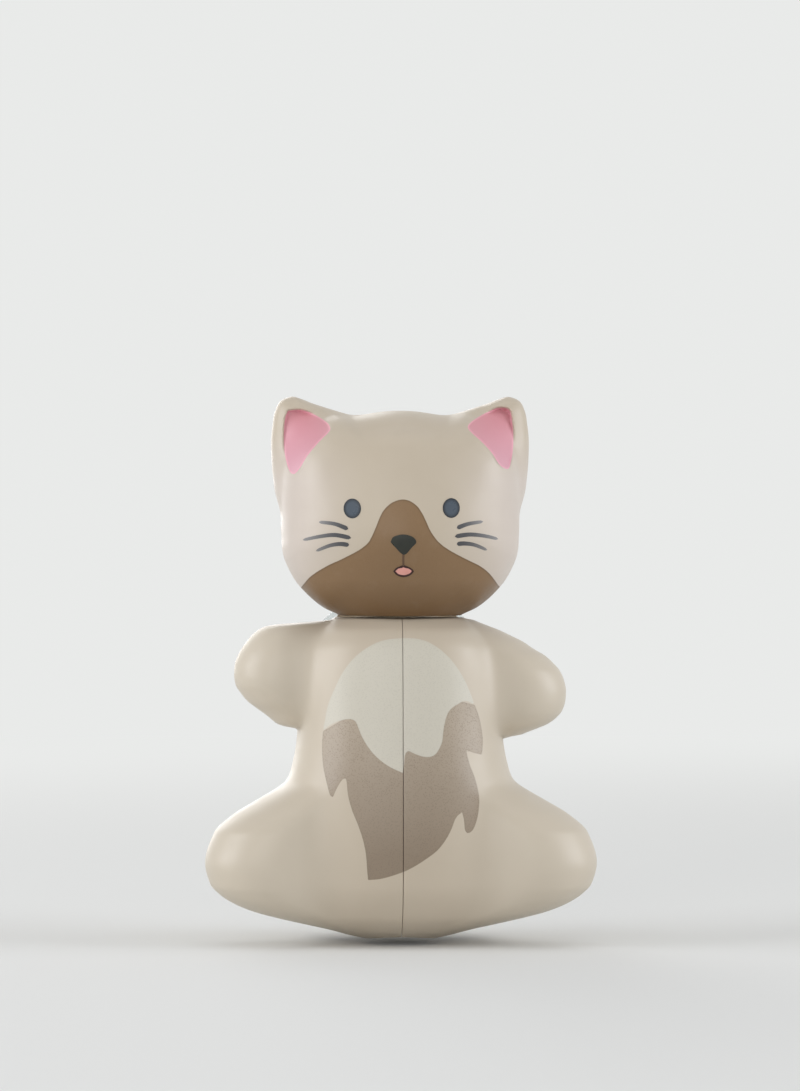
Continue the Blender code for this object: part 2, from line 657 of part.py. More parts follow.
def build_liner(side, finish):
    """Inner tray of one half: seam plate, brush chamber, neck way, barrel, gear sector and spring post."""
    sign = SIDES[side]
    axis, neck = (sign * HINGE_HALF_SPACING, HINGE_Y), (0, NECK_Y)
    outer, back = CHAMBER_HALF_WIDTH + LINER_WALL, CHAMBER_BACK + LINER_WALL
    bottom, top = CHAMBER_BOTTOM - LINER_WALL, CHAMBER_TOP + LINER_WALL
    plate = side_box(
        "plate", side, (SEAM, SEAM + LINER_WALL), (AXIS_Y - TORSO_FRONT, back), (BODY_BOTTOM, BODY_TOP),
    )
    chamber = side_box(
        "chamber", side, (-outer, outer), (CHAMBER_FRONT - LINER_WALL, back), (bottom, top), CHAMBER_CORNER,
    )
    half_web = WEB / 2
    web = side_box(
        "web", side, (HINGE_HALF_SPACING - half_web, HINGE_HALF_SPACING + half_web),
        (back - LINER_WALL / 2, HINGE_Y), (BARREL_BOTTOM, BARREL_TOP),
    )
    collar = upright("collar", NECK_RADIUS + LINER_WALL, neck, BODY_BOTTOM, bottom + LINER_WALL, ROUND_SIDES)
    post = upright("post", POST_RADIUS, post_place(side), BRACKET_TOP - BRACKET / 2, POST_TOP, HOLE_SIDES)
    inside, below = CHAMBER_BOTTOM + LINER_WALL, BODY_BOTTOM - OVERRUN
    way = upright("neck_way", NECK_RADIUS, neck, below, inside, ROUND_SIDES)
    liner = finish_object(f"{side}_liner", plate, finish)
    tools = [
        (ADD, chamber),
        (ADD, collar),
        (KEEP, body_half_mesh("outline", side, WALL + CLEARANCE, SEAM, INNER_STEPS)),
        (ADD, upright("barrel", BARREL_RADIUS, axis, BARREL_BOTTOM, BARREL_TOP)),
        (ADD, web),
        (ADD, prism_mesh("gear", gear_outline(side, GEAR_TOP - GEAR_HEIGHT), (0, 0, GEAR_HEIGHT))),
        (ADD, post_bracket(side)),
        (ADD, post),
        (CUT, brush_space(side)),
        (CUT, way),
        (CUT, upright("bore", BORE_RADIUS, axis, BARREL_BOTTOM - OVERRUN, BARREL_TOP + OVERRUN)),
        (CUT, upright("lug_clear", LUG_RADIUS + CLEARANCE, axis, BARREL_TOP, BODY_TOP)),
    ]
    for label, y, height in LINER_SCREWS[side]:
        starts = (CHAMBER_HALF_WIDTH - OVERRUN, outer - LINER_WALL / 2)
        ends = (WELL_FLOOR, WELL_BACK, WELL_BACK + OVERRUN)
        mouth, wall, floor, well_end, behind = [(sign * x, y, height) for x in (*starts, *ends)]
        tools += [
            (ADD, cylinder_mesh(f"{label}_well", SINK_RADIUS + LINER_WALL, wall, well_end)),
            (CUT, cylinder_mesh(f"{label}_sink", SINK_RADIUS, mouth, floor)),
            (CUT, cylinder_mesh(f"{label}_hole", HOLE_RADIUS, mouth, behind, HOLE_SIDES)),
        ]
    return combine(liner, tools)


def stadium_mesh(name, radius, low, high):
    """A standing plate round both hinge axes, with round ends."""
    outline = []
    for step in range(ROUND_SIDES // 2 + 1):
        angle = math.pi * step / (ROUND_SIDES // 2) - math.pi / 2
        outline.append((HINGE_HALF_SPACING + radius * math.cos(angle), HINGE_Y + radius * math.sin(angle), low))
    outline += [(-x, y, z) for x, y, z in reversed(outline)]
    return prism_mesh(name, outline, (0, 0, high - low))


def build_frame(finish):
    """Back plate with rounded flanks, two pairs of hinge lugs, the cup's keyhole and the head's tongue."""
    half, y = HINGE_HALF_SPACING, HINGE_Y
    far = FLANK_RADIUS + half + OVERRUN
    above, below = COLLAR_TOP + OVERRUN, FRAME_BOTTOM - OVERRUN
    middle = TONGUE_TOP - TONGUE_HALF_WIDTH
    tongue_low = (-TONGUE_HALF_WIDTH, PLATE_FRONT_Y, BODY_TOP - LUG)
    tongue_high = (TONGUE_HALF_WIDTH, PLATE_BACK_Y, middle)
    end_front, end_back = (0, PLATE_FRONT_Y, middle), (0, PLATE_BACK_Y, middle)
    plate_high = (PLATE_HALF_WIDTH, PLATE_BACK_Y - FLANK_WALL / 2, COLLAR_TOP)
    flank = stadium_mesh("rear_frame", FLANK_RADIUS, FRAME_BOTTOM, COLLAR_TOP)
    frame = finish_object("rear_frame", flank, finish)
    tools = [
        (CUT, stadium_mesh("hollow", FLANK_RADIUS - FLANK_WALL, FRAME_BOTTOM + FLANK_WALL, above)),
        (CUT, box_mesh("front_cut", (-far, y - FLANK_RADIUS - OVERRUN, below), (far, y - FLANK_FRONT, above))),
        (ADD, box_mesh("plate", (-PLATE_HALF_WIDTH, PLATE_FRONT_Y, FRAME_BOTTOM), plate_high)),
        (ADD, box_mesh("tongue", tongue_low, tongue_high)),
        (ADD, cylinder_mesh("tongue_end", TONGUE_HALF_WIDTH, end_front, end_back, ROUND_SIDES)),
    ]
    lower_lug = BARREL_BOTTOM - CLEARANCE - LUG
    for label, low in (("upper", BARREL_TOP + CLEARANCE), ("lower", lower_lug)):
        root_low = (-half - LUG_RADIUS, y, low)
        root_high = (half + LUG_RADIUS, PLATE_FRONT_Y + PLATE / 2, low + LUG)
        tools.append((ADD, stadium_mesh(f"{label}_lug", LUG_RADIUS, low, low + LUG)))
        tools.append((ADD, box_mesh(f"{label}_lug_root", root_low, root_high)))
    pin_hole, pin_floor = PIN_RADIUS + CLEARANCE / 2, lower_lug + LUG / 3
    slope_end, slope_foot = COLLAR_HALF_WIDTH + SHOULDER_WIDTH, BODY_TOP - SHOULDER_DROP
    shoulder = (
        (COLLAR_HALF_WIDTH, above), (COLLAR_HALF_WIDTH, BODY_TOP), (slope_end, slope_foot), (slope_end, above),
    )
    for label, sign in SIDES.items():
        corners = [(sign * x, y - FLANK_RADIUS, z) for x, z in shoulder]
        tools.append((CUT, prism_mesh(f"{label}_shoulder", corners, (0, 2 * FLANK_RADIUS + OVERRUN, 0))))
        tools.append((CUT, upright(f"{label}_pin_hole", pin_hole, (sign * half, y), pin_floor, above)))
    front, behind = PLATE_FRONT_Y - OVERRUN / 2, PLATE_BACK_Y + OVERRUN
    slot, drop = CUP_NECK_RADIUS + CLEARANCE, -KEYHOLE_DROP
    entry = CUP_HEAD_RADIUS + CLEARANCE
    tools += [
        (CUT, cylinder_mesh("neck_hole", slot, (0, front, 0), (0, behind, 0), ROUND_SIDES)),
        (CUT, box_mesh("neck_slot", (-slot, front, drop), (slot, behind, 0))),
        (CUT, cylinder_mesh("entry_hole", entry, (0, front, drop), (0, behind, drop), ROUND_SIDES)),
    ]
    for label, height in (("lower", FRAME_SCREW_LOWER), ("upper", FRAME_SCREW_UPPER)):
        mouth, sink, end = (0, front, height), (0, PLATE_BACK_Y - SCREW_HEAD, height), (0, behind, height)
        tools.append((CUT, cylinder_mesh(f"{label}_hole", SCREW_RADIUS + CLEARANCE, mouth, end, HOLE_SIDES)))
        tools.append((CUT, cylinder_mesh(f"{label}_sink", SINK_RADIUS, sink, end, SCREW_SIDES)))
    return combine(frame, tools)


def head_limits():
    """Corners of a box well clear of the head all round."""
    wide = HEAD_HALF_WIDTH + EAR_RISE
    low = (-wide, HEAD_CENTRE_Y - HEAD_FRONT - 2 * OVERRUN, BODY_BOTTOM)
    high = (wide, HEAD_CENTRE_Y + HEAD_BACK + OVERRUN, HEAD_CENTRE_HEIGHT + EAR_RISE + OVERRUN)
    return low, high


def ear_hollow(label, sign, skin):
    """Cutter for the shallow hollow in the front of one ear."""
    outline = []
    for across, rise in EAR_HOLLOW_SHARES:
        height = HEAD_CENTRE_HEIGHT + rise * EAR_RISE
        outline.append((sign * across * HEAD_HALF_WIDTH, HEAD_CENTRE_Y, height))
    return guide(f"{label}_ear_hollow", prism_mesh("ear_hollow", outline, (0, -HEAD_FRONT, 0)), [(CUT, skin)])


def build_face(finish, hollow, mid_wall):
    """Face shell of the head, with the ears' hollows and two blind screw bosses."""
    low, high = head_limits()
    skin = guide("ear_skin", head_mesh("ear_skin", EAR_HOLLOW_DEPTH))
    face = finish_object("head_face_shell", head_mesh("head_face_shell", 0.0), finish)
    tools = [(CUT, ear_hollow(label, sign, skin)) for label, sign in SIDES.items()]
    tools.append((CUT, hollow))
    for label, sign in SIDES.items():
        x, z = sign * FACE_SCREW_X, FACE_SCREW_HEIGHT
        boss = cylinder_mesh("boss", SCREW_BOSS_RADIUS, (x, PART_Y - SEAM, z), (x, low[1], z), SCREW_SIDES)
        tools.append((ADD, guide(f"{label}_face_boss", boss, [(KEEP, mid_wall)])))
        mouth, floor = (x, PART_Y + OVERRUN, z), (x, PART_Y - FACE_SCREW, z)
        tools.append((CUT, cylinder_mesh(f"{label}_hole", HOLE_RADIUS, mouth, floor, HOLE_SIDES)))
    tools.append((CUT, box_mesh("chin", low, (high[0], high[1], CHIN_HEIGHT))))
    tools.append((CUT, box_mesh("rear_side", (low[0], PART_Y - SEAM, low[2]), high)))
    combine(face, tools)


def build_back(finish, hollow, mid_wall):
    """Back shell of the head, with the pad that the frame's tongue is screwed to."""
    low, high = head_limits()
    back = finish_object("head_back_shell", head_mesh("head_back_shell", 0.0), finish)
    pad_low = (-HEAD_PAD_HALF_WIDTH, PAD_Y - HEAD_PAD_DEPTH, CHIN_HEIGHT - OVERRUN)
    pad = box_mesh("pad", pad_low, (HEAD_PAD_HALF_WIDTH, PAD_Y, TONGUE_TOP + CLEARANCE))
    tools = [(CUT, hollow), (ADD, pad)]
    for label, height in (("lower", FRAME_SCREW_LOWER), ("upper", FRAME_SCREW_UPPER)):
        mouth, floor = (0, PAD_Y + OVERRUN, height), (0, PLATE_BACK_Y - FRAME_SCREW - SCREW_HEAD, height)
        tools.append((CUT, cylinder_mesh(f"{label}_frame_hole", HOLE_RADIUS, mouth, floor, HOLE_SIDES)))
    floor = PART_Y + SEAM + WALL
    for label, sign in SIDES.items():
        x, z = sign * FACE_SCREW_X, FACE_SCREW_HEIGHT
        end = (x, high[1], z)
        column = cylinder_mesh("column", SCREW_BOSS_RADIUS + WALL / 2, (x, PART_Y + SEAM, z), end)
        tools += [
            (ADD, guide(f"{label}_back_column", column, [(KEEP, mid_wall)])),
            (CUT, cylinder_mesh(f"{label}_sink", SINK_RADIUS, (x, floor, z), end, SCREW_SIDES)),
            (CUT, cylinder_mesh(f"{label}_hole", HOLE_RADIUS, (x, PART_Y - OVERRUN, z), end, HOLE_SIDES)),
        ]
    tools.append((CUT, box_mesh("chin_back", low, (high[0], high[1], CHIN_HEIGHT))))
    tools.append((CUT, box_mesh("front_side", low, (high[0], PART_Y + SEAM, high[2]))))
    combine(back, tools)


def build_head(finish, plate_finish):
    """Face shell, back shell and base plate of the fixed head."""
    hollow = guide("head_hollow", head_mesh("head_hollow", WALL, INNER_DIVISIONS))
    mid_wall = guide("head_mid_wall", head_mesh("head_mid_wall", WALL / 2))
    build_face(finish, hollow, mid_wall)
    build_back(finish, hollow, mid_wall)
    low, high = head_limits()
    name = "head_base_plate"
    rear = PAD_Y - HEAD_PAD_DEPTH - CLEARANCE
    slab = box_mesh(name, (low[0], low[1], CHIN_HEIGHT), (high[0], rear, CHIN_HEIGHT + HEAD_PLATE))
    inside = guide("plate_form", head_mesh("plate_form", WALL + CLEARANCE, INNER_DIVISIONS))
    combine(finish_object(name, slab, plate_finish), [(KEEP, inside)])


def build_cup(finish):
    """Suction cup with its neck and the head that the keyhole holds."""
    back, head = PLATE_BACK_Y + CLEARANCE, PLATE_FRONT_Y - CLEARANCE
    inner = CUP_RADIUS - CUP_RIM
    profile = [
        *((radius * CUP_RADIUS, height * CUP_HOLLOW) for radius, height in CUP_HOLLOW_SHARES),
        (inner, CLEARANCE), (inner, 0), (CUP_RADIUS, 0), (CUP_RADIUS, CUP_EDGE),
        *((radius * CUP_RADIUS, CUP_EDGE + height * CUP_DOME) for radius, height in CUP_DOME_SHARES),
        (CUP_SHOULDER_RADIUS, -back), (CUP_NECK_RADIUS, -back), (CUP_NECK_RADIUS, -head),
        *((radius * CUP_HEAD_RADIUS, height * CUP_HEAD - head) for radius, height in CUP_HEAD_SHARES),
    ]
    finish_object("suction_cup", turned_mesh("suction_cup", profile, (0, 0, 0), (0, -1, 0)), finish)


def build_pins(finish):
    """Hinge pins: each drops through the upper lug and the barrel into the lower lug."""
    head = BARREL_TOP + CLEARANCE + LUG + CLEARANCE
    foot = BARREL_BOTTOM - CLEARANCE - LUG / 2
    profile = [
        *((radius * PIN_RADIUS, foot + height * PIN_RADIUS) for radius, height in PIN_FOOT_SHARES),
        (PIN_RADIUS, head), (PIN_HEAD_RADIUS, head), (PIN_HEAD_RADIUS, head + PIN_HEAD), (0, head + PIN_HEAD),
    ]
    for side, sign in SIDES.items():
        place = (sign * HINGE_HALF_SPACING, HINGE_Y, 0)
        name = f"hinge_pin_{side}"
        finish_object(name, turned_mesh(name, profile, place, (0, 0, 1), SCREW_SIDES), finish)


def spring_points():
    """Middle line of the toggle spring: a loop round each post and a coil between them."""
    post_x, y = post_place("right")
    post_x += SPRING_LOOP_SHIFT
    loop = POST_RADIUS + SPRING_LOOP_GAP + SPRING_WIRE / 2
    half_coil = SPRING_TURNS * SPRING_PITCH / 2
    right_loop = []
    for step in range(LOOP_POINTS + 1):
        turn = math.radians(LOOP_START + LOOP_SWEEP * step / LOOP_POINTS)
        right_loop.append(Vector((post_x + loop * math.cos(turn), y + loop * math.sin(turn), SPRING_HEIGHT)))
    coil = []
    for step in range(SPRING_TURNS * COIL_POINTS + 1):
        turn = 2 * math.pi * step / COIL_POINTS + math.pi / 2
        x = half_coil - step * SPRING_PITCH / COIL_POINTS
        height = SPRING_HEIGHT + SPRING_COIL_RADIUS * math.cos(turn)
        coil.append(Vector((x, y + SPRING_COIL_RADIUS * math.sin(turn), height)))
    left_loop = [Vector((-point.x, point.y, point.z)) for point in reversed(right_loop)]
    return [*right_loop, *coil, *left_loop]


def least_self_gap(points, wire, skip):
    """Least clear distance of a wire to its own other turns, measured on its points."""
    least = math.inf
    for i, first in enumerate(points):
        for second in points[i + skip:]:
            least = min(least, (first - second).length)
    return least - wire


def build_spring(finish):
    """Over-centre extension spring, one unbroken wire."""
    points = spring_points()
    curve = bpy.data.curves.new("toggle_spring", "CURVE")
    curve.dimensions = "3D"
    curve.bevel_depth = SPRING_WIRE / 2
    curve.bevel_resolution = 1
    curve.use_fill_caps = True
    spline = curve.splines.new("POLY")
    spline.points.add(len(points) - 1)
    for point, place in zip(spline.points, points):
        point.co = (*place, 1)
    curve.materials.append(finish)
    spring = bpy.data.objects.new("toggle_spring", curve)
    bpy.context.scene.collection.objects.link(spring)
    gap = least_self_gap(points, SPRING_WIRE, COIL_POINTS // 2 + 1)
    print(f"toggle_spring: least gap to itself {gap * 1000:.2f} mm")


def build_screws(finish):
    """Screws of the liners, the frame and the head."""
    for side, sign in SIDES.items():
        for label, y, height in LINER_SCREWS[side]:
            seat = (sign * (WELL_FLOOR - CLEARANCE), y, height)
            screw_object(f"{side}_{label}_screw", seat, (sign, 0, 0), LINER_SCREW, finish)
        seat = (sign * FACE_SCREW_X, PART_Y + SEAM + WALL + CLEARANCE, FACE_SCREW_HEIGHT)
        screw_object(f"face_screw_{side}", seat, (0, -1, 0), FACE_SCREW, finish)
    for label, height in (("lower", FRAME_SCREW_LOWER), ("upper", FRAME_SCREW_UPPER)):
        seat = (0, PLATE_BACK_Y - SCREW_HEAD + CLEARANCE, height)
        screw_object(f"frame_screw_{label}", seat, (0, -1, 0), FRAME_SCREW, finish)


def main():
    """Build every piece of the holder."""
    clear_scene()
    beige = material("beige_plastic", (0.60, 0.53, 0.43), 0.42)
    ivory = material("ivory_plastic", (0.72, 0.68, 0.60), 0.45)
    clear = material("clear_cup", (0.85, 0.88, 0.88), 0.12, alpha=0.45)
    steel = material("steel", (0.62, 0.62, 0.60), 0.28, metallic=1.0)
    build_head(beige, ivory)
    for side in SIDES:
        build_shell(side, beige)
        build_liner(side, ivory)
    build_frame(beige)
    build_cup(clear)
    build_pins(steel)
    build_spring(steel)
    build_screws(steel)


main()
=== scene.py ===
"""Studio scene of a cat-shaped toothbrush holder: a fixed head over a body whose two halves swing open.

Metres, +Z up, the face towards -Y, the wall at Y = 0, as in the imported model.
"""

from __future__ import annotations

import logging
import math
from collections.abc import Iterable, Sequence
from dataclasses import dataclass
from enum import Enum
from typing import Any

import bmesh
import bpy
import numpy as np
from mathutils import Matrix, Vector
from mathutils.bvhtree import BVHTree


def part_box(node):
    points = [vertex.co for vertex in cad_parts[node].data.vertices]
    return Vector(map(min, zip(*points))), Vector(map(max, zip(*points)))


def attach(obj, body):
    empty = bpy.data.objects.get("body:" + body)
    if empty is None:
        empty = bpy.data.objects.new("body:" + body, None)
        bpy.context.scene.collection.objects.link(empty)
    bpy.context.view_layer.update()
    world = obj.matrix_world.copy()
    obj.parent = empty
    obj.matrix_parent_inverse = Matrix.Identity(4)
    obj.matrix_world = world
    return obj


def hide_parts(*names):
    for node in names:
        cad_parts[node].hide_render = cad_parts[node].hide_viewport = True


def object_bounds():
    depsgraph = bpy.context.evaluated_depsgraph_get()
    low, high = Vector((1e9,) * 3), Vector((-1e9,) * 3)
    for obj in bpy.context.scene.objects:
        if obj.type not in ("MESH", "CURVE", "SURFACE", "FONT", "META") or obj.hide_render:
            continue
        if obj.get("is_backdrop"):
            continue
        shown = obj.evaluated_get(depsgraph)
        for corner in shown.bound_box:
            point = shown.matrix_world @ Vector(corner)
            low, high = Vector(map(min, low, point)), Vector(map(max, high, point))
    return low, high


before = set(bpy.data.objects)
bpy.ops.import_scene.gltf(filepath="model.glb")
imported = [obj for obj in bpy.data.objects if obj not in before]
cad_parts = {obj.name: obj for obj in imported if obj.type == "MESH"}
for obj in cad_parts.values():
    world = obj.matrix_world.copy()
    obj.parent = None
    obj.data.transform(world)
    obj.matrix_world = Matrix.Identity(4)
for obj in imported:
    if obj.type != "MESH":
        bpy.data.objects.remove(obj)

log = logging.getLogger("toothbrush_holder")
MM = 0.001
MERGE = 0.001 * MM
FLAT_ANGLE = math.radians(0.6)
SHARP_ANGLE = math.radians(38)
BEVEL_ANGLE = math.radians(40)
OVERRUN = 3 * MM
MOTTLE_RANGE = (0.3, 0.7)
STROKE_STEPS = 8
DOME_STEPS = 7

Colour = tuple[float, float, float]
Point = tuple[float, float, float]
Pixel = tuple[float, float]


class Side(Enum):
    """The two sides of the cat, as the viewer sees them."""

    LEFT = -1
    RIGHT = 1

    @property
    def label(self) -> str:
        """Word that starts the names of this side's nodes."""
        return self.name.lower()

    @property
    def body(self) -> str:
        """Moving body that carries this side's half."""
        return f"{self.label}_half"


class Cut(Enum):
    """What a solid tool does to a piece."""

    REMOVE = "DIFFERENCE"
    KEEP = "INTERSECT"
    ADD = "UNION"


@dataclass(frozen=True)
class PhotoView:
    """The camera's place, and where a point of the object falls on the picture."""

    height_px: int = 1091
    metres_per_pixel: float = 0.1564 * MM
    cup_centre_px: Pixel = (400.0, 700.0)
    plane_y: float = -26 * MM
    distance: float = 711 * MM
    azimuth: float = math.radians(-1.8)
    sensor: float = 36.0

    @property
    def aim(self) -> Vector:
        """Point in the head's middle plane that the picture's centre shows."""
        height = (self.cup_centre_px[1] - self.height_px / 2) * self.metres_per_pixel
        return Vector((0.0, self.plane_y, height))

    @property
    def eye(self) -> Vector:
        """The camera's place."""
        back = Vector((math.sin(self.azimuth), -math.cos(self.azimuth), 0.0))
        return self.aim + back * self.distance

    @property
    def lens(self) -> float:
        """Focal length in millimetres for a sensor as tall as the picture."""
        return self.sensor * self.distance / (self.height_px * self.metres_per_pixel)

    def pixels(self, points: np.ndarray) -> np.ndarray:
        """Pixels at which points of the object show.

        Args:
            points: Places in metres, one in each row.

        Returns:
            Two columns: across from the left, and down from the top.
        """
        eye = np.array(self.eye)
        share = (self.plane_y - eye[1]) / (points[:, 1] - eye[1])
        seen = eye + share[:, None] * (points - eye)
        across = seen[:, 0] / self.metres_per_pixel + self.cup_centre_px[0]
        down = self.cup_centre_px[1] - seen[:, 2] / self.metres_per_pixel
        return np.column_stack((across, down))

    def ray(self, pixel: Pixel) -> tuple[Vector, Vector]:
        """Start and direction of the line of sight through a pixel."""
        across = (pixel[0] - self.cup_centre_px[0]) * self.metres_per_pixel
        height = (self.cup_centre_px[1] - pixel[1]) * self.metres_per_pixel
        through = Vector((across, self.plane_y, height))
        return self.eye, (through - self.eye).normalized()


PHOTO = PhotoView()


def smooth_stroke(points: Sequence[Pixel], steps: int = 5) -> np.ndarray:
    """Evenly divided smooth line through a stroke's points.

    Args:
        points: The stroke's points, in order.
        steps: Pieces between each point and the next.

    Returns:
        The points of the smooth line, both ends with them.
    """
    given = np.array(points, float)
    padded = np.vstack((2 * given[0] - given[1], given, 2 * given[-1] - given[-2]))
    line = [given[0]]
    for before, start, end, after in zip(padded, padded[1:], padded[2:], padded[3:]):
        for step in range(1, steps + 1):
            t = step / steps
            bend = (2 * start - 2 * end + (end - before) / 2 + (after - start) / 2) * t**3
            lean = (3 * end - 3 * start - (end - before) - (after - start) / 2) * t**2
            line.append(start + (end - before) / 2 * t + lean + bend)
    return np.array(line)


def outline_of(*strokes: Sequence[Pixel]) -> np.ndarray:
    """Closed outline from smooth strokes that meet at corners."""
    return np.vstack([smooth_stroke(stroke)[:-1] for stroke in strokes])


def signed_distance(points: np.ndarray, outline: np.ndarray) -> np.ndarray:
    """Distance in a plane from points to a closed outline.

    Args:
        points: Places, one in each row.
        outline: The outline's corners, in order.

    Returns:
        One distance for each point, negative inside the outline.
    """
    nearest = np.full(len(points), np.inf)
    inside = np.zeros(len(points), bool)
    for start, end in zip(outline, np.roll(outline, -1, axis=0)):
        along = end - start
        away = points - start
        share = np.clip(away @ along / max(along @ along, 1e-12), 0, 1)
        nearest = np.minimum(nearest, np.hypot(*(away - share[:, None] * along).T))
        spans = (start[1] > points[:, 1]) != (end[1] > points[:, 1])
        crossing = start[0] + away[:, 1] * along[0] / (along[1] or 1.0)
        inside ^= spans & (points[:, 0] < crossing)
    return np.where(inside, -nearest, nearest)


@dataclass(frozen=True)
class ShareCurve:
    """Smooth curve through a table of shares, which never overshoots its points."""

    places: tuple[float, ...]
    values: tuple[float, ...]

    @classmethod
    def through(cls, *pairs: tuple[float, float]) -> ShareCurve:
        """Curve through pairs of a place and a value."""
        return cls(tuple(place for place, _ in pairs), tuple(value for _, value in pairs))

    @classmethod
    def level(cls, *pairs: tuple[float, float]) -> ShareCurve:
        """Curve through pairs of a place and a value that starts level at zero."""
        place, value = pairs[1]
        return cls.through((-place, value), *pairs)

    def at(self, where: np.ndarray) -> np.ndarray:
        """Values of the curve.

        Args:
            where: Places along the curve; past its ends the end values hold.

        Returns:
            One value for each place.
        """
        xs, ys = np.array(self.places), np.array(self.values)
        slopes = np.diff(ys) / np.diff(xs)
        before, after = slopes[:-1], slopes[1:]
        rising = before * after > 0
        mean = 2 * before * after / np.where(rising, before + after, 1.0)
        tangents = np.concatenate((slopes[:1], np.where(rising, mean, 0.0), slopes[-1:]))
        place = np.clip(where, xs[0], xs[-1])
        index = np.clip(np.searchsorted(xs, place) - 1, 0, len(xs) - 2)
        width = xs[index + 1] - xs[index]
        t = (place - xs[index]) / width
        start, end = tangents[index] * width, tangents[index + 1] * width
        rise = ys[index + 1] - ys[index]
        return ys[index] + t * (start + t * (3 * rise - 2 * start - end + t * (start + end - 2 * rise)))


def smooth_largest(radii: Sequence[np.ndarray], sharpness: float) -> np.ndarray:
    """The largest of several radii, with the crease between two of them rounded.

    Args:
        radii: Arrays of radii, all of one shape.
        sharpness: How closely the crease is followed.

    Returns:
        One radius for each place.
    """
    largest = np.maximum.reduce(radii)
    total = sum((np.maximum(radius, 0.0) / largest) ** sharpness for radius in radii)
    return largest * total ** (1 / sharpness)


@dataclass(frozen=True)
class Limb:
    """A round-ended limb that lies out from the body's axis."""

    tip: float
    rise: float
    drop: float
    reach: float
    half_depth: float
    forward: float
    rise_shares: ShareCurve
    drop_shares: ShareCurve
    roundness: float = 2.5
    least_share: float = 0.3

    def radius(self, angle: np.ndarray, height: np.ndarray, inset: float) -> np.ndarray:
        """Radius of the limb's section about the body's axis.

        Args:
            angle: Angles from the sideways direction, negative forward.
            height: Heights of the sections.
            inset: Depth of the form under the outer surface.

        Returns:
            Radii, zero where the limb has no section.
        """
        above = height >= self.tip
        rise_share = (height - self.tip) / (self.rise - inset)
        drop_share = (self.tip - height) / (self.drop - inset)
        share = np.where(above, rise_share, drop_share)
        inside = share <= 1
        share = np.clip(share, 0, 1)
        half_depth = self.half_depth - inset
        out = np.where(above, self.rise_shares.at(share), self.drop_shares.at(share)) * self.reach - inset
        deep = half_depth * (1 - share**self.roundness) ** (1 / self.roundness)
        deep = np.maximum(deep, self.least_share * np.minimum(half_depth, out))
        off = angle + self.forward
        centre = (out - deep) / math.cos(self.forward)
        ahead, across = np.cos(off), np.abs(np.sin(off))
        flank = deep / np.maximum(across, deep / (centre + deep))
        end = centre * ahead + np.sqrt(np.maximum(deep**2 - (centre * across) ** 2, 0.0))
        radius = np.where(across * centre >= deep * ahead, flank, end)
        return np.where(inside, np.where(ahead <= 0, deep, radius), 0.0)


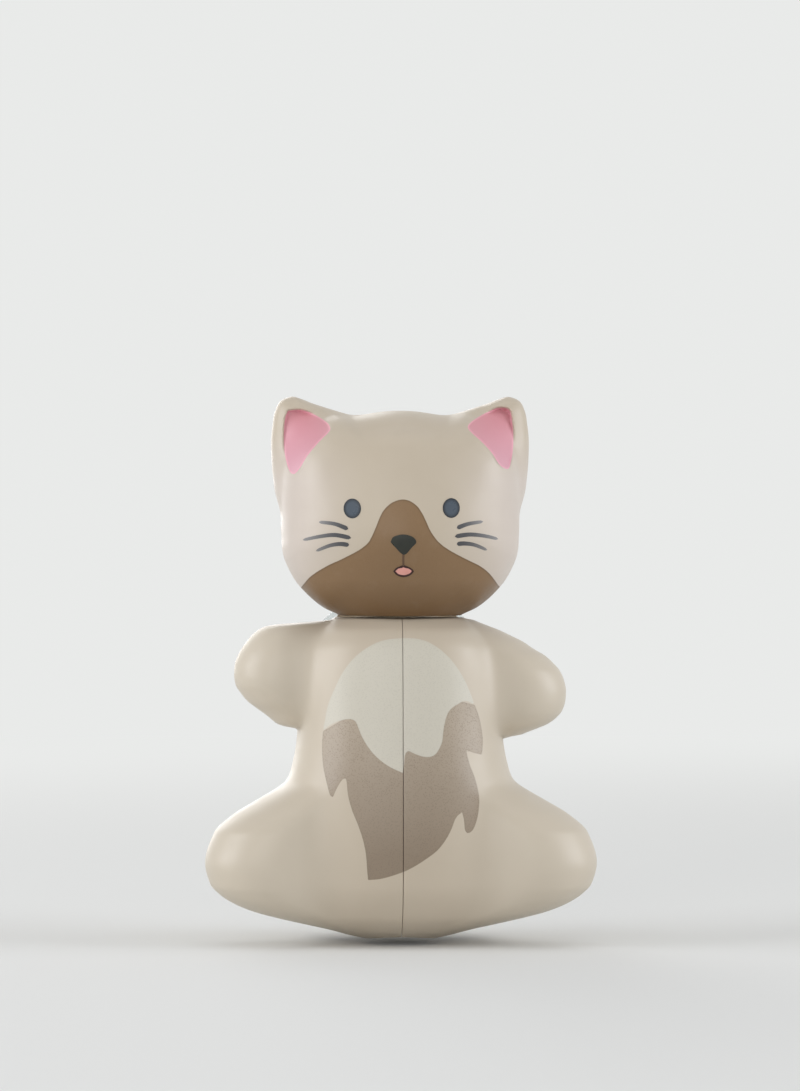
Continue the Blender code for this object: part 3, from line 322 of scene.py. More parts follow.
@dataclass(frozen=True)
class BodyForm:
    """The sitting body: a torso with two arms and two legs, split down the middle."""

    top: float = 12.9 * MM
    bottom: float = -37.5 * MM
    axis_y: float = -25 * MM
    half_width: float = 17.6 * MM
    front: float = 17.5 * MM
    back: float = 15.5 * MM
    front_roundness: float = 2.3
    back_roundness: float = 3.2
    sharpness: float = 9.0
    arm_reach: float = 25.9 * MM
    arm_half_depth: float = 7.0 * MM
    leg_reach: float = 30.37 * MM
    leg_half_depth: float = 9.5 * MM
    leg_tip: float = -25.0 * MM
    leg_rise: float = 18.0 * MM
    leg_forward: float = math.radians(18)
    arm_forward: float = math.radians(6)
    edge_round: float = 0.35 * MM
    seam_round: float = 0.10 * MM
    round_angles: tuple[float, ...] = (90.0, 60.0, 30.0)
    cap_shares: tuple[float, ...] = (0.0, 0.4, 0.75)
    crowding: float = 1.15
    height_shares: tuple[float, ...] = (
        0.0, 0.018, 0.046, 0.09, 0.19, 0.35, 0.51, 0.59, 0.66, 0.80, 0.90, 0.96, 1.0,
    )
    width_shares: tuple[float, ...] = (
        0.24, 0.42, 0.64, 0.86, 0.98, 1.0, 0.97, 0.928, 0.909, 0.90, 0.85, 0.74, 0.58,
    )
    front_shares: tuple[float, ...] = (
        0.28, 0.44, 0.64, 0.82, 0.97, 1.0, 0.985, 0.96, 0.94, 0.90, 0.86, 0.79, 0.68,
    )
    back_shares: tuple[float, ...] = (
        0.30, 0.50, 0.70, 0.88, 0.97, 1.0, 1.0, 1.0, 1.0, 1.0, 1.0, 0.97, 0.90,
    )

    def arm(self, side: Side) -> Limb:
        """The arm of one side; the left one is held a little higher.

        Args:
            side: Which arm.

        Returns:
            The limb.
        """
        if side is Side.LEFT:
            rise_shares = ShareCurve.level(
                (0.0, 1.0), (0.19, 0.996), (0.36, 0.977), (0.58, 0.934), (0.74, 0.892), (0.87, 0.834),
                (0.92, 0.784), (0.95, 0.695), (0.97, 0.60), (1.0, 0.40),
            )
            drop_shares = ShareCurve.level(
                (0.0, 1.0), (0.19, 0.99), (0.31, 0.965), (0.48, 0.919), (0.62, 0.857), (0.75, 0.795),
                (0.88, 0.737), (0.93, 0.70), (0.97, 0.60), (1.0, 0.42),
            )
            tip, rise, drop = 4.0 * MM, 8.4 * MM, 8.5 * MM
        else:
            rise_shares = ShareCurve.level(
                (0.0, 1.0), (0.15, 0.988), (0.29, 0.961), (0.39, 0.923), (0.49, 0.876), (0.60, 0.795),
                (0.69, 0.737), (0.77, 0.664), (0.85, 0.587), (0.91, 0.513), (1.0, 0.40),
            )
            drop_shares = ShareCurve.level(
                (0.0, 1.0), (0.19, 0.996), (0.41, 0.977), (0.56, 0.942), (0.70, 0.888), (0.79, 0.826),
                (0.88, 0.753), (0.945, 0.695), (0.975, 0.60), (1.0, 0.42),
            )
            tip, rise, drop = 1.4 * MM, 11.2 * MM, 7.3 * MM
        return Limb(
            tip, rise, drop, self.arm_reach, self.arm_half_depth, self.arm_forward, rise_shares, drop_shares,
        )

    def leg(self) -> Limb:
        """A leg, alike on both sides.

        Returns:
            The limb.
        """
        rise_shares = ShareCurve.level(
            (0.0, 1.0), (0.264, 0.952), (0.404, 0.862), (0.513, 0.752), (0.622, 0.620), (0.70, 0.51),
            (0.80, 0.41), (1.0, 0.34),
        )
        drop_shares = ShareCurve.level(
            (0.0, 1.0), (0.26, 0.974), (0.40, 0.922), (0.50, 0.860), (0.60, 0.768), (0.69, 0.642),
            (0.784, 0.484), (0.856, 0.355), (0.94, 0.232), (1.0, 0.11),
        )
        return Limb(
            self.leg_tip, self.leg_rise, self.leg_tip - self.bottom, self.leg_reach, self.leg_half_depth,
            self.leg_forward, rise_shares, drop_shares,
        )

    def radius(self, side: Side, angle: np.ndarray, height: np.ndarray, inset: float) -> np.ndarray:
        """Radius of the body's section about its upright axis.

        Args:
            side: Which half.
            angle: Angles from the sideways direction, negative forward.
            height: Heights of the sections.
            inset: Depth of the form under the outer surface.

        Returns:
            One radius for each angle and height.
        """
        low, high = self.bottom + inset, self.top - inset
        share = (height - low) / (high - low)
        width = ShareCurve(self.height_shares, self.width_shares).at(share) * self.half_width - inset
        front = ShareCurve(self.height_shares, self.front_shares).at(share) * self.front - inset
        back = ShareCurve(self.height_shares, self.back_shares).at(share) * self.back - inset
        depth = np.where(angle < 0, front, back)
        power = np.where(angle < 0, self.front_roundness, self.back_roundness)
        across, along = np.abs(np.cos(angle)) / width, np.abs(np.sin(angle)) / depth
        torso = (across**power + along**power) ** (-1 / power)
        arm = self.arm(side).radius(angle, height, inset)
        leg = self.leg().radius(angle, height, inset)
        return smooth_largest((torso, arm, leg), self.sharpness)

    def half(
        self, side: Side, inset: float, seam: float, rows: int, columns: int, rolled: bool,
    ) -> bmesh.types.BMesh:
        """One closed half of the form, with its flat side at the seam.

        Args:
            side: Which half.
            inset: Depth of the form under the outer surface.
            seam: Distance of the flat side from the middle plane.
            rows: Steps from the bottom to the top.
            columns: Steps from the front to the back.
            rolled: Whether the edges at the seam and at both ends are rounded.

        Returns:
            A closed bmesh.
        """
        end_round, side_round = (self.edge_round, self.seam_round) if rolled else (0.0, 0.0)
        low, high = self.bottom + inset, self.top - inset
        arc = np.radians(self.round_angles)
        steps = len(arc)
        heights = np.concatenate((
            np.full(steps, low), low + end_round * (1 - np.sin(arc)),
            np.linspace(low + end_round, high - end_round, rows + 1),
            high - end_round * (1 - np.sin(arc[::-1])), np.full(steps, high),
        ))
        pulls = np.concatenate((
            np.full(steps, end_round), end_round * (1 - np.cos(arc)), np.zeros(rows + 1),
            end_round * (1 - np.cos(arc[::-1])), np.full(steps, end_round),
        ))
        caps = self.cap_shares
        shrinks = np.concatenate((caps, np.ones(len(heights) - 2 * len(caps)), caps[::-1]))
        share = np.linspace(-1, 1, columns + 1)
        angles = np.sign(share) * math.pi / 2 * np.abs(share) ** self.crowding
        angles = np.concatenate((np.full(steps, -math.pi / 2), angles, np.full(steps, math.pi / 2)))
        rolls = np.concatenate((arc, np.zeros(columns + 1), arc[::-1]))
        bm = bmesh.new()
        bmesh.ops.create_grid(bm, x_segments=len(angles) - 1, y_segments=len(heights) - 1, size=1)
        angle, height = np.meshgrid(angles, heights)
        roll, pull = np.meshgrid(rolls, pulls)
        shrink = np.repeat(shrinks[:, None], len(angles), axis=1)
        radius = (self.radius(side, angle, height, inset) - pull) * shrink
        rolled_x = seam + side_round * (1 - np.sin(roll))
        x = np.where(roll > 0, rolled_x, np.maximum(radius * np.cos(angle), seam + side_round))
        along = np.maximum(radius * np.abs(np.sin(angle)) - side_round * (1 - np.cos(roll)), 0.0)
        y = self.axis_y + np.sign(np.sin(angle)) * along
        places = np.stack((side.value * x, y, height), axis=-1).reshape(-1, 3)
        for vert, place in zip(bm.verts, places):
            vert.co = place
        bmesh.ops.remove_doubles(bm, verts=bm.verts, dist=MERGE)
        bmesh.ops.holes_fill(bm, edges=bm.edges, sides=0)
        bmesh.ops.recalc_face_normals(bm, faces=bm.faces)
        return bm


@dataclass(frozen=True)
class HeadForm:
    """The head about its own centre, with pointed ears and a soft muzzle."""

    centre: Point = (0.0, -26 * MM, 29 * MM)
    half_width: float = 18.6 * MM
    front: float = 17.2 * MM
    back: float = 14.5 * MM
    roundness: float = 2.5
    sharpness: float = 18.0
    ear_half_depth: float = 6.2 * MM
    ear_roundness: float = 3.0
    ear_front_rise: tuple[float, float] = (12.0, 66.0)
    ear_front_depth: tuple[float, float] = (-0.62, 0.02)
    plain_share: float = 0.6
    muzzle_swell: float = 1.6 * MM
    muzzle_width_share: float = 0.45
    muzzle_height_share: float = 0.33
    muzzle_drop_share: float = 0.20
    base: ShareCurve = ShareCurve.through(
        (-90, 1.03), (-75, 1.0), (-59.4, 0.986), (-49.6, 1.013), (-39.3, 1.029), (-30.8, 1.040),
        (-21.5, 1.040), (-16.6, 1.032), (-9.8, 1.011), (0, 1.0), (10, 1.02), (20, 1.06), (32, 1.10),
        (44, 1.09), (55, 1.02), (64.2, 0.92), (72.8, 0.887), (81.9, 0.875), (90, 0.871),
    )
    ear: ShareCurve = ShareCurve.through(
        (-5, 0.60), (2, 0.90), (10.5, 1.036), (15.6, 1.081), (20.3, 1.129), (25, 1.181), (30.3, 1.247),
        (35.1, 1.306), (39.3, 1.358), (43.1, 1.384), (47.3, 1.347), (49.6, 1.269), (51.6, 1.187),
        (53.9, 1.113), (56.6, 1.032), (60, 0.94), (66, 0.80), (72, 0.60),
    )

    def radius(self, direction: np.ndarray, inset: float) -> np.ndarray:
        """Distance of the surface from the centre.

        Args:
            direction: Unit directions, one in each row.
            inset: Depth of the form under the outer surface.

        Returns:
            One distance for each direction.
        """
        x, y, z = direction.T
        across = np.hypot(x, z)
        rise = np.degrees(np.arctan2(z, np.abs(x)))
        depth = np.where(y < 0, self.front, self.back) - inset
        aside = np.clip((across - self.plain_share * np.abs(y)) / (1 - self.plain_share), 0, 1)
        swing = aside * aside * (3 - 2 * aside)
        wide = (1 + (self.base.at(rise) - 1) * swing) * self.half_width - inset
        power = self.roundness
        skull = ((across / wide) ** power + np.abs(y / depth) ** power) ** (-1 / power)
        tall = self.ear.at(rise) * self.half_width - inset
        thick = self.ear_half_depth - inset
        power = self.ear_roundness
        ear = ((across / tall) ** power + np.abs(y / thick) ** power) ** (-1 / power)
        ear = np.where((rise > self.ear.places[0]) & (rise < self.ear.places[-1]), ear, 0.0)
        radius = smooth_largest((skull, ear), self.sharpness)
        swell = (x / self.muzzle_width_share) ** 2
        swell = swell + ((z + self.muzzle_drop_share) / self.muzzle_height_share) ** 2
        return radius + np.where(y < 0, self.muzzle_swell * np.exp(-swell), 0.0)

    def whole(self, inset: float, divisions: int, finer_ears: bool = False) -> bmesh.types.BMesh:
        """The whole closed head.

        Args:
            inset: Depth of the form under the outer surface.
            divisions: Faces along each edge of the cube that the form starts from.
            finer_ears: Whether the fronts of the ears get more faces.

        Returns:
            A closed bmesh.
        """
        bm = bmesh.new()
        bmesh.ops.create_cube(bm, size=2)
        bmesh.ops.subdivide_edges(bm, edges=bm.edges, cuts=divisions - 1, use_grid_fill=True)
        if finer_ears:
            near = [face for face in bm.faces if self.in_ear_front(face.calc_center_median())]
            edges = list({edge for face in near for edge in face.edges})
            bmesh.ops.subdivide_edges(bm, edges=edges, cuts=1, use_grid_fill=True)
        cube = np.array([vert.co[:] for vert in bm.verts])
        direction = np.tan(cube * math.pi / 4)
        direction /= np.linalg.norm(direction, axis=1)[:, None]
        places = np.array(self.centre) + direction * self.radius(direction, inset)[:, None]
        for vert, place in zip(bm.verts, places):
            vert.co = place
        bmesh.ops.recalc_face_normals(bm, faces=bm.faces)
        return bm

    def in_ear_front(self, place: Vector) -> bool:
        """Whether a place is on the front of an ear.

        Args:
            place: Place on the cube that the head starts from.

        Returns:
            Whether it is.
        """
        direction = Vector(math.tan(axis * math.pi / 4) for axis in place).normalized()
        rise = math.degrees(math.atan2(direction.z, abs(direction.x)))
        low, high = self.ear_front_rise
        front, rear = self.ear_front_depth
        return low < rise < high and front < direction.y < rear


class Shop:
    """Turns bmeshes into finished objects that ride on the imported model."""

    @staticmethod
    def turned(
        profile: Iterable[tuple[float, float]], centre: Point, axis: Point, steps: int = 64,
    ) -> bmesh.types.BMesh:
        """A profile turned about an axis.

        Args:
            profile: Pairs of a radius and a distance along the axis.
            centre: Point of the axis that distances are measured from.
            axis: Direction of the axis.
            steps: Flat steps round the turn.

        Returns:
            A closed bmesh.
        """
        bm = bmesh.new()
        points = [bm.verts.new((radius, 0.0, along)) for radius, along in profile]
        edges = [bm.edges.new(pair) for pair in zip(points, points[1:])]
        bmesh.ops.spin(
            bm, geom=points + edges, cent=(0, 0, 0), axis=(0, 0, 1), angle=2 * math.pi, steps=steps,
            use_merge=True,
        )
        bmesh.ops.remove_doubles(bm, verts=bm.verts, dist=MERGE)
        turn = Vector(axis).to_track_quat("Z", "Y").to_matrix().to_4x4()
        bmesh.ops.transform(bm, matrix=Matrix.Translation(centre) @ turn, verts=bm.verts)
        bmesh.ops.recalc_face_normals(bm, faces=bm.faces)
        return bm

    @staticmethod
    def box(low: Point, high: Point, bevel: float = 0.0, segments: int = 3) -> bmesh.types.BMesh:
        """A box between two corners.

        Args:
            low: Its lowest corner.
            high: Its highest corner.
            bevel: Width of the rounding of its edges, zero for none.
            segments: Steps across the rounding.

        Returns:
            A closed bmesh.
        """
        bm = bmesh.new()
        bmesh.ops.create_cube(bm, size=1)
        lowest, highest = Vector(low), Vector(high)
        bmesh.ops.scale(bm, vec=highest - lowest, verts=bm.verts)
        bmesh.ops.translate(bm, vec=(highest + lowest) / 2, verts=bm.verts)
        if bevel > 0:
            bmesh.ops.bevel(
                bm, geom=bm.edges[:], offset=bevel, segments=segments, profile=0.5, affect="EDGES",
                material=-1,
            )
        return bm

    @staticmethod
    def rod(radius: float, start: Point, end: Point, sides: int = 64) -> bmesh.types.BMesh:
        """A cylinder.

        Args:
            radius: Its radius.
            start: Middle of one end.
            end: Middle of the other end.
            sides: Flat sides round it.

        Returns:
            A closed bmesh.
        """
        foot, tip = Vector(start), Vector(end)
        bm = bmesh.new()
        bmesh.ops.create_cone(
            bm, cap_ends=True, segments=sides, radius1=radius, radius2=radius, depth=(tip - foot).length,
        )
        turn = (tip - foot).to_track_quat("Z", "Y").to_matrix().to_4x4()
        bmesh.ops.transform(bm, matrix=Matrix.Translation((foot + tip) / 2) @ turn, verts=bm.verts)
        return bm

    @staticmethod
    def soften(
        bm: bmesh.types.BMesh, width: float, angle: float = BEVEL_ANGLE, segments: int = 2,
    ) -> None:
        """Round the sharp edges of a bmesh.

        Args:
            bm: The bmesh, changed in place.
            width: Width of the rounding.
            angle: Least angle between two faces of an edge that is rounded.
            segments: Steps across the rounding.
        """
        sharp = [edge for edge in bm.edges if edge.is_manifold and edge.calc_face_angle(0.0) > angle]
        bmesh.ops.bevel(
            bm, geom=sharp, offset=width, segments=segments, profile=0.5, affect="EDGES", clamp_overlap=True,
            material=-1,
        )

    @staticmethod
    def dome(radius: float, height: float, flat: float, side: float) -> list[tuple[float, float]]:
        """Profile of a domed head.

        Args:
            radius: Its outer radius.
            height: Its full height.
            flat: Share of the radius that is flat on top.
            side: Share of the height that is upright at the side.

        Returns:
            Radii and heights from the side to the top.
        """
        return [
            (radius * (flat + (1 - flat) * math.cos(turn)), height * (side + (1 - side) * math.sin(turn)))
            for turn in np.radians(np.linspace(0, 90, DOME_STEPS))
        ]

    @staticmethod
    def object_of(name: str, bm: bmesh.types.BMesh) -> bpy.types.Object:
        """Link a new object.

        Args:
            name: Name of the object and its mesh.
            bm: Its shape, which is freed.

        Returns:
            The object.
        """
        mesh = bpy.data.meshes.new(name)
        bm.to_mesh(mesh)
        bm.free()
        obj = bpy.data.objects.new(name, mesh)
        bpy.context.scene.collection.objects.link(obj)
        return obj

    @classmethod
    def carve(cls, obj: bpy.types.Object, tools: Sequence[tuple[Cut, bmesh.types.BMesh]]) -> None:
        """Work solid tools into an object and keep the result as its mesh.

        Args:
            obj: The object, changed in place.
            tools: Pairs of what to do and the tool's closed bmesh.
        """
        helpers = []
        for cut, bm in tools:
            helper = cls.object_of(f"{obj.name}_tool", bm)
            modifier = obj.modifiers.new(helper.name, "BOOLEAN")
            modifier.operation = cut.value
            modifier.object = helper
            modifier.solver = "MANIFOLD"
            helpers.append(helper)
        made = bpy.data.meshes.new_from_object(obj.evaluated_get(bpy.context.evaluated_depsgraph_get()))
        obj.modifiers.clear()
        old = obj.data
        obj.data = made
        bpy.data.meshes.remove(old)
        made.name = obj.name
        for helper in helpers:
            bpy.data.meshes.remove(helper.data)

    @classmethod
    def shaped(
        cls, bm: bmesh.types.BMesh, tools: Sequence[tuple[Cut, bmesh.types.BMesh]],
    ) -> bmesh.types.BMesh:
        """A bmesh with tools applied to it, ready to be a tool itself.

        Args:
            bm: The shape, which is freed.
            tools: Pairs of what to do and the tool's closed bmesh.

        Returns:
            A new closed bmesh.
        """
        obj = cls.object_of("tool", bm)
        cls.carve(obj, tools)
        made = bmesh.new()
        made.from_mesh(obj.data)
        bpy.data.objects.remove(obj, do_unlink=True)
        return made

    @staticmethod
    def shade(obj: bpy.types.Object, angle: float = SHARP_ANGLE) -> None:
        """Smooth shading, with edges over an angle left sharp."""
        obj.data.shade_smooth()
        obj.data.set_sharp_from_angle(angle=angle)

    @staticmethod
    def finish(
        obj: bpy.types.Object, material: bpy.types.Material, body: str, replaced: Sequence[str] = (),
        slot: str = "",
    ) -> bpy.types.Object:
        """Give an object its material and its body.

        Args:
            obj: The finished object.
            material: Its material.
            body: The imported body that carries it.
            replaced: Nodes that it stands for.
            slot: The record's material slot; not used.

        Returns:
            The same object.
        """
        obj.data.materials.clear()
        obj.data.materials.append(material)
        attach(obj, body)
        if replaced:
            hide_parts(*replaced)
        return obj

    @staticmethod
    def mark(obj: bpy.types.Object, name: str, values: np.ndarray) -> None:
        """Store one number for each point of a mesh, for its material to read."""
        layer = obj.data.attributes.new(name, "FLOAT", "POINT")
        layer.data.foreach_set("value", values.astype(np.float32))

    @staticmethod
    def places(obj: bpy.types.Object) -> np.ndarray:
        """Places of a mesh's points.

        Args:
            obj: The object.

        Returns:
            One place in each row.
        """
        flat = np.empty(len(obj.data.vertices) * 3, np.float32)
        obj.data.vertices.foreach_get("co", flat)
        return flat.reshape(-1, 3).astype(float)

    @classmethod
    def copy_of(cls, node: str, round_width: float) -> bpy.types.Object:
        """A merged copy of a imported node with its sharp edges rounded.

        Args:
            node: Name of the node.
            round_width: Width of the rounding, or zero for none.

        Returns:
            The copy, with its place in its mesh.
        """
        bm = bmesh.new()
        bm.from_mesh(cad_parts[node].data)
        bmesh.ops.remove_doubles(bm, verts=bm.verts, dist=2 * MERGE)
        bmesh.ops.dissolve_limit(
            bm, angle_limit=FLAT_ANGLE, verts=bm.verts, edges=bm.edges, use_dissolve_boundaries=False,
        )
        if round_width > 0:
            cls.soften(bm, round_width)
            bmesh.ops.remove_doubles(bm, verts=bm.verts, dist=2 * MERGE)
        obj = cls.object_of(f"{node}_moulding", bm)
        cls.shade(obj)
        return obj


class Sketch:
    """Adds nodes to a node tree and links them."""

    def __init__(self, tree: bpy.types.NodeTree) -> None:
        """Start on a tree."""
        self.tree = tree

    def node(self, kind: str, **settings: Any) -> bpy.types.Node:
        """A new node with its settings."""
        made = self.tree.nodes.new(kind)
        for name, value in settings.items():
            setattr(made, name, value)
        return made

    @classmethod
    def of_material(
        cls, name: str, shown: tuple[float, ...],
    ) -> tuple[bpy.types.Material, Sketch, bpy.types.Node]:
        """A new material.

        Args:
            name: Name of the material.
            shown: Colour and opacity that stand for it in a plain view.

        Returns:
            The material, a sketch of its tree, and its shader.
        """
        made = bpy.data.materials.new(name)
        made.use_nodes = True
        made.diffuse_color = shown
        return made, cls(made.node_tree), made.node_tree.nodes["Principled BSDF"]

    def feed(self, socket: bpy.types.NodeSocket, source: Any) -> None:
        """Link a socket, or set its value."""
        if isinstance(source, bpy.types.NodeSocket):
            self.tree.links.new(source, socket)
        elif source is not None:
            socket.default_value = source

    def feed_all(self, made: bpy.types.Node, parts: dict[str, Any]) -> None:
        """Link or set several inputs of a node by their names."""
        for name, part in parts.items():
            self.feed(made.inputs[name], part)

    def maths(self, operation: str, *values: Any) -> bpy.types.NodeSocket:
        """Result of a Math node."""
        made = self.node("ShaderNodeMath", operation=operation)
        for socket, value in zip(made.inputs, values):
            self.feed(socket, value)
        return made.outputs[0]

    def ranged(
        self, value: Any, low: float, high: float, first: float, last: float, soft: bool = False,
    ) -> bpy.types.NodeSocket:
        """A value moved from one range to another and kept inside it.

        Args:
            value: The value.
            low: Start of the first range.
            high: End of the first range.
            first: Start of the second range.
            last: End of the second range.
            soft: Whether both ends are eased.

        Returns:
            The moved value.
        """
        made = self.node("ShaderNodeMapRange", interpolation_type="SMOOTHSTEP" if soft else "LINEAR")
        self.feed_all(made, {
            "Value": value, "From Min": low, "From Max": high, "To Min": first, "To Max": last,
        })
        return made.outputs[0]

    def mixed(self, share: Any, first: Any, second: Any) -> bpy.types.NodeSocket:
        """Two colours mixed by a share."""
        made = self.node("ShaderNodeMix", data_type="RGBA", clamp_factor=True)
        self.feed(made.inputs[0], share)
        for socket, colour in ((made.inputs[6], first), (made.inputs[7], second)):
            self.feed(socket, (*colour, 1.0) if isinstance(colour, tuple) else colour)
        return made.outputs[2]

    def blended(self, share: Any, first: Any, second: Any) -> bpy.types.NodeSocket:
        """Two shaders mixed by a share."""
        made = self.node("ShaderNodeMixShader")
        for socket, source in zip(made.inputs, (share, first, second)):
            self.feed(socket, source)
        return made.outputs[0]

    def noise(
        self, place: Any, scale: Any, detail: float = 2.0, roughness: float = 0.5,
    ) -> bpy.types.NodeSocket:
        """Grey noise.

        Args:
            place: Where it is taken.
            scale: Its cells to the metre.
            detail: Number of finer layers.
            roughness: Strength of each finer layer.

        Returns:
            The noise, from 0 to 1.
        """
        made = self.node("ShaderNodeTexNoise")
        self.feed_all(made, {"Vector": place, "Scale": scale, "Detail": detail, "Roughness": roughness})
        return made.outputs["Fac"]

    def relief(self, shader: bpy.types.Node, height: Any, strength: float, depth: float) -> None:
        """Give a shader a fine relief.

        Args:
            shader: The shader.
            height: Height of the relief, from 0 to 1.
            strength: How strongly it turns the normal.
            depth: What a height of 1 stands for.
        """
        bump = self.node("ShaderNodeBump")
        self.feed_all(bump, {"Strength": strength, "Distance": depth, "Height": height})
        self.feed(shader.inputs["Normal"], bump.outputs[0])

    def place(self) -> bpy.types.NodeSocket:
        """Object coordinates."""
        return self.node("ShaderNodeTexCoord").outputs["Object"]

    def attribute(self, name: str) -> bpy.types.NodeSocket:
        """A number stored on the mesh."""
        return self.node("ShaderNodeAttribute", attribute_name=name).outputs["Fac"]

    def group(self, tree: bpy.types.NodeTree, **values: Any) -> bpy.types.Node:
        """A placed node group with its inputs set."""
        made = self.node("ShaderNodeGroup", node_tree=tree)
        for name, value in values.items():
            self.feed(made.inputs[name.replace("_", " ").capitalize()], value)
        return made


class Effects:
    """Node groups that several materials share."""

    FINE_SHARE: float = 0.55
    WAVE_SHARE: float = 0.45
    RUB_SCALE: float = 420.0
    RUB_RANGE: tuple[float, float] = (0.52, 0.74)
    WANDER_SCALE: float = 2600.0
    WANDER: float = 0.05 * MM
    DOT_RANGE: tuple[float, float] = (0.15, 0.5)
    PATCH_SCALE: float = 700.0
    PATCH_LEAST: float = 0.4
    DULL_SCALE: float = 900.0
    DULL_RANGE: tuple[float, float] = (0.35, 0.75)

    def __init__(self) -> None:
        """Build each group once."""
        self.grain = self.build_grain()
        self.print_edge = self.build_print_edge()
        self.stipple = self.build_stipple()
        self.brushed = self.build_brushed()

    @staticmethod
    def empty(
        name: str, inputs: Sequence[tuple[str, float]], outputs: Sequence[str],
    ) -> tuple[Sketch, Any, Any]:
        """A new group with number sockets.

        Args:
            name: Name of the group.
            inputs: Names and first values of its inputs.
            outputs: Names of its outputs.

        Returns:
            A sketch of the group, and its input and output nodes.
        """
        tree = bpy.data.node_groups.new(name, "ShaderNodeTree")
        for label, value in inputs:
            socket = tree.interface.new_socket(label, in_out="INPUT", socket_type="NodeSocketFloat")
            socket.default_value = value
        for label in outputs:
            tree.interface.new_socket(label, in_out="OUTPUT", socket_type="NodeSocketFloat")
        sketch = Sketch(tree)
        return sketch, sketch.node("NodeGroupInput"), sketch.node("NodeGroupOutput")

    def build_grain(self) -> bpy.types.NodeTree:
        """Moulded skin: a fine spark-eroded grain over slow waves of the mould."""
        sketch, given, made = self.empty(
            "moulded_grain", (("Fineness", 5200.0), ("Wave", 130.0)), ("Height", "Mottle", "Rub"),
        )
        place = sketch.place()
        fine = sketch.noise(place, given.outputs["Fineness"], 2.0, 0.6)
        wave = sketch.noise(place, given.outputs["Wave"], 3.0, 0.5)
        rub = sketch.noise(place, self.RUB_SCALE, 4.0, 0.62)
        rub = sketch.ranged(rub, *self.RUB_RANGE, 0.0, 1.0, soft=True)
        fine_part = sketch.maths("MULTIPLY", fine, self.FINE_SHARE)
        wave_part = sketch.maths("MULTIPLY", wave, self.WAVE_SHARE)
        height = sketch.maths("ADD", fine_part, wave_part)
        sketch.feed_all(made, {"Height": height, "Mottle": wave, "Rub": rub})
        return sketch.tree

    def build_print_edge(self) -> bpy.types.NodeTree:
        """Cover of a printed patch, and a thin band inside its edge, which carries an ink line on most
        patches and a painted highlight on the ears.
        """
        sketch, given, made = self.empty(
            "print_edge", (("Distance", 0.0), ("Softness", 0.06 * MM), ("Line width", 0.35 * MM)),
            ("Cover", "Line"),
        )
        wander = sketch.maths("SUBTRACT", sketch.noise(sketch.place(), self.WANDER_SCALE, 1.0), 0.5)
        wander = sketch.maths("MULTIPLY", wander, self.WANDER)
        distance = sketch.maths("ADD", given.outputs["Distance"], wander)
        share = sketch.maths("DIVIDE", distance, given.outputs["Softness"])
        cover = sketch.ranged(share, -1.0, 1.0, 1.0, 0.0, soft=True)
        inward = sketch.maths("DIVIDE", sketch.maths("MULTIPLY", distance, -1.0), given.outputs["Line width"])
        fade = sketch.ranged(inward, 0.0, 1.0, 1.0, 0.0, soft=True)
        sketch.feed_all(made, {"Cover": cover, "Line": sketch.maths("MULTIPLY", cover, fade)})
        return sketch.tree

    def build_stipple(self) -> bpy.types.NodeTree:
        """Tiny dots of a pad print."""
        sketch, given, made = self.empty(
            "pad_print_stipple", (("Fineness", 3600.0), ("Strength", 1.0)), ("Dots",),
        )
        cells = sketch.node("ShaderNodeTexVoronoi", feature="F1")
        sketch.feed_all(cells, {"Vector": sketch.place(), "Scale": given.outputs["Fineness"]})
        dots = sketch.ranged(cells.outputs["Distance"], *self.DOT_RANGE, 1.0, 0.0, soft=True)
        cloud = sketch.noise(sketch.place(), self.PATCH_SCALE, 3.0, 0.6)
        patchy = sketch.ranged(cloud, *MOTTLE_RANGE, self.PATCH_LEAST, 1.0)
        strength = sketch.maths("MULTIPLY", given.outputs["Strength"], patchy)
        sketch.feed(made.inputs["Dots"], sketch.maths("MULTIPLY", dots, strength))
        return sketch.tree

    def build_brushed(self) -> bpy.types.NodeTree:
        """Fine turning marks and dull patches on plated steel."""
        sketch, given, made = self.empty("plated_marks", (("Fineness", 9000.0),), ("Height", "Dull"))
        place = sketch.place()
        marks = sketch.noise(place, given.outputs["Fineness"], 2.0, 0.7)
        dull = sketch.noise(place, self.DULL_SCALE, 3.0, 0.6)
        dull = sketch.ranged(dull, *self.DULL_RANGE, 0.0, 1.0, soft=True)
        sketch.feed_all(made, {"Height": marks, "Dull": dull})
        return sketch.tree


@dataclass(frozen=True)
class Paint:
    """A printed colour with the colour that it turns to lower down, later at the sides by the spread; on the
    mask the darker chin and on the ears the darker tops are painted shade.
    """

    upper: Colour
    lower: Colour
    high: float
    low: float
    spread: float = 0.0
    # Share of the lower colour for the edge line and dots: darker ink below one, a painted highlight above
    # one.
    edge_ink_and_glint_share: float = 0.55


@dataclass(frozen=True)
class Print:
    """A printed patch: where it is, its paint, and the strength of its edge line and its dots; on the ears
    the edge line is a painted highlight.
    """

    attribute: str
    paint: Paint
    line: float
    dots: float

    def painted(
        self, sketch: Sketch, effects: Effects, place: bpy.types.Node, side: Any, edge: bpy.types.Node,
    ) -> bpy.types.NodeSocket:
        """Colour of the patch.

        Args:
            sketch: Sketch of the material.
            effects: The shared node groups.
            place: Node that gives the place in three parts.
            side: Squared distance from the middle plane.
            edge: The patch's cover and edge line.

        Returns:
            The colour.
        """
        paint = self.paint
        height = sketch.maths("ADD", place.outputs["Z"], sketch.maths("MULTIPLY", side, paint.spread))
        lower_share = sketch.ranged(height, paint.low, paint.high, 1.0, 0.0)
        colour = sketch.mixed(lower_share, paint.upper, paint.lower)
        # Edge line and dots take the lower colour times the edge share; on the ears the share is above one
        # and the line is a painted highlight.
        edge_ink_and_glint_colour = tuple(part * paint.edge_ink_and_glint_share for part in paint.lower)
        if self.dots > 0:
            stipple = sketch.group(effects.stipple, strength=self.dots)
            colour = sketch.mixed(stipple.outputs["Dots"], colour, edge_ink_and_glint_colour)
        return sketch.mixed(sketch.maths("MULTIPLY", edge.outputs["Line"], self.line), colour, edge_ink_and_glint_colour)


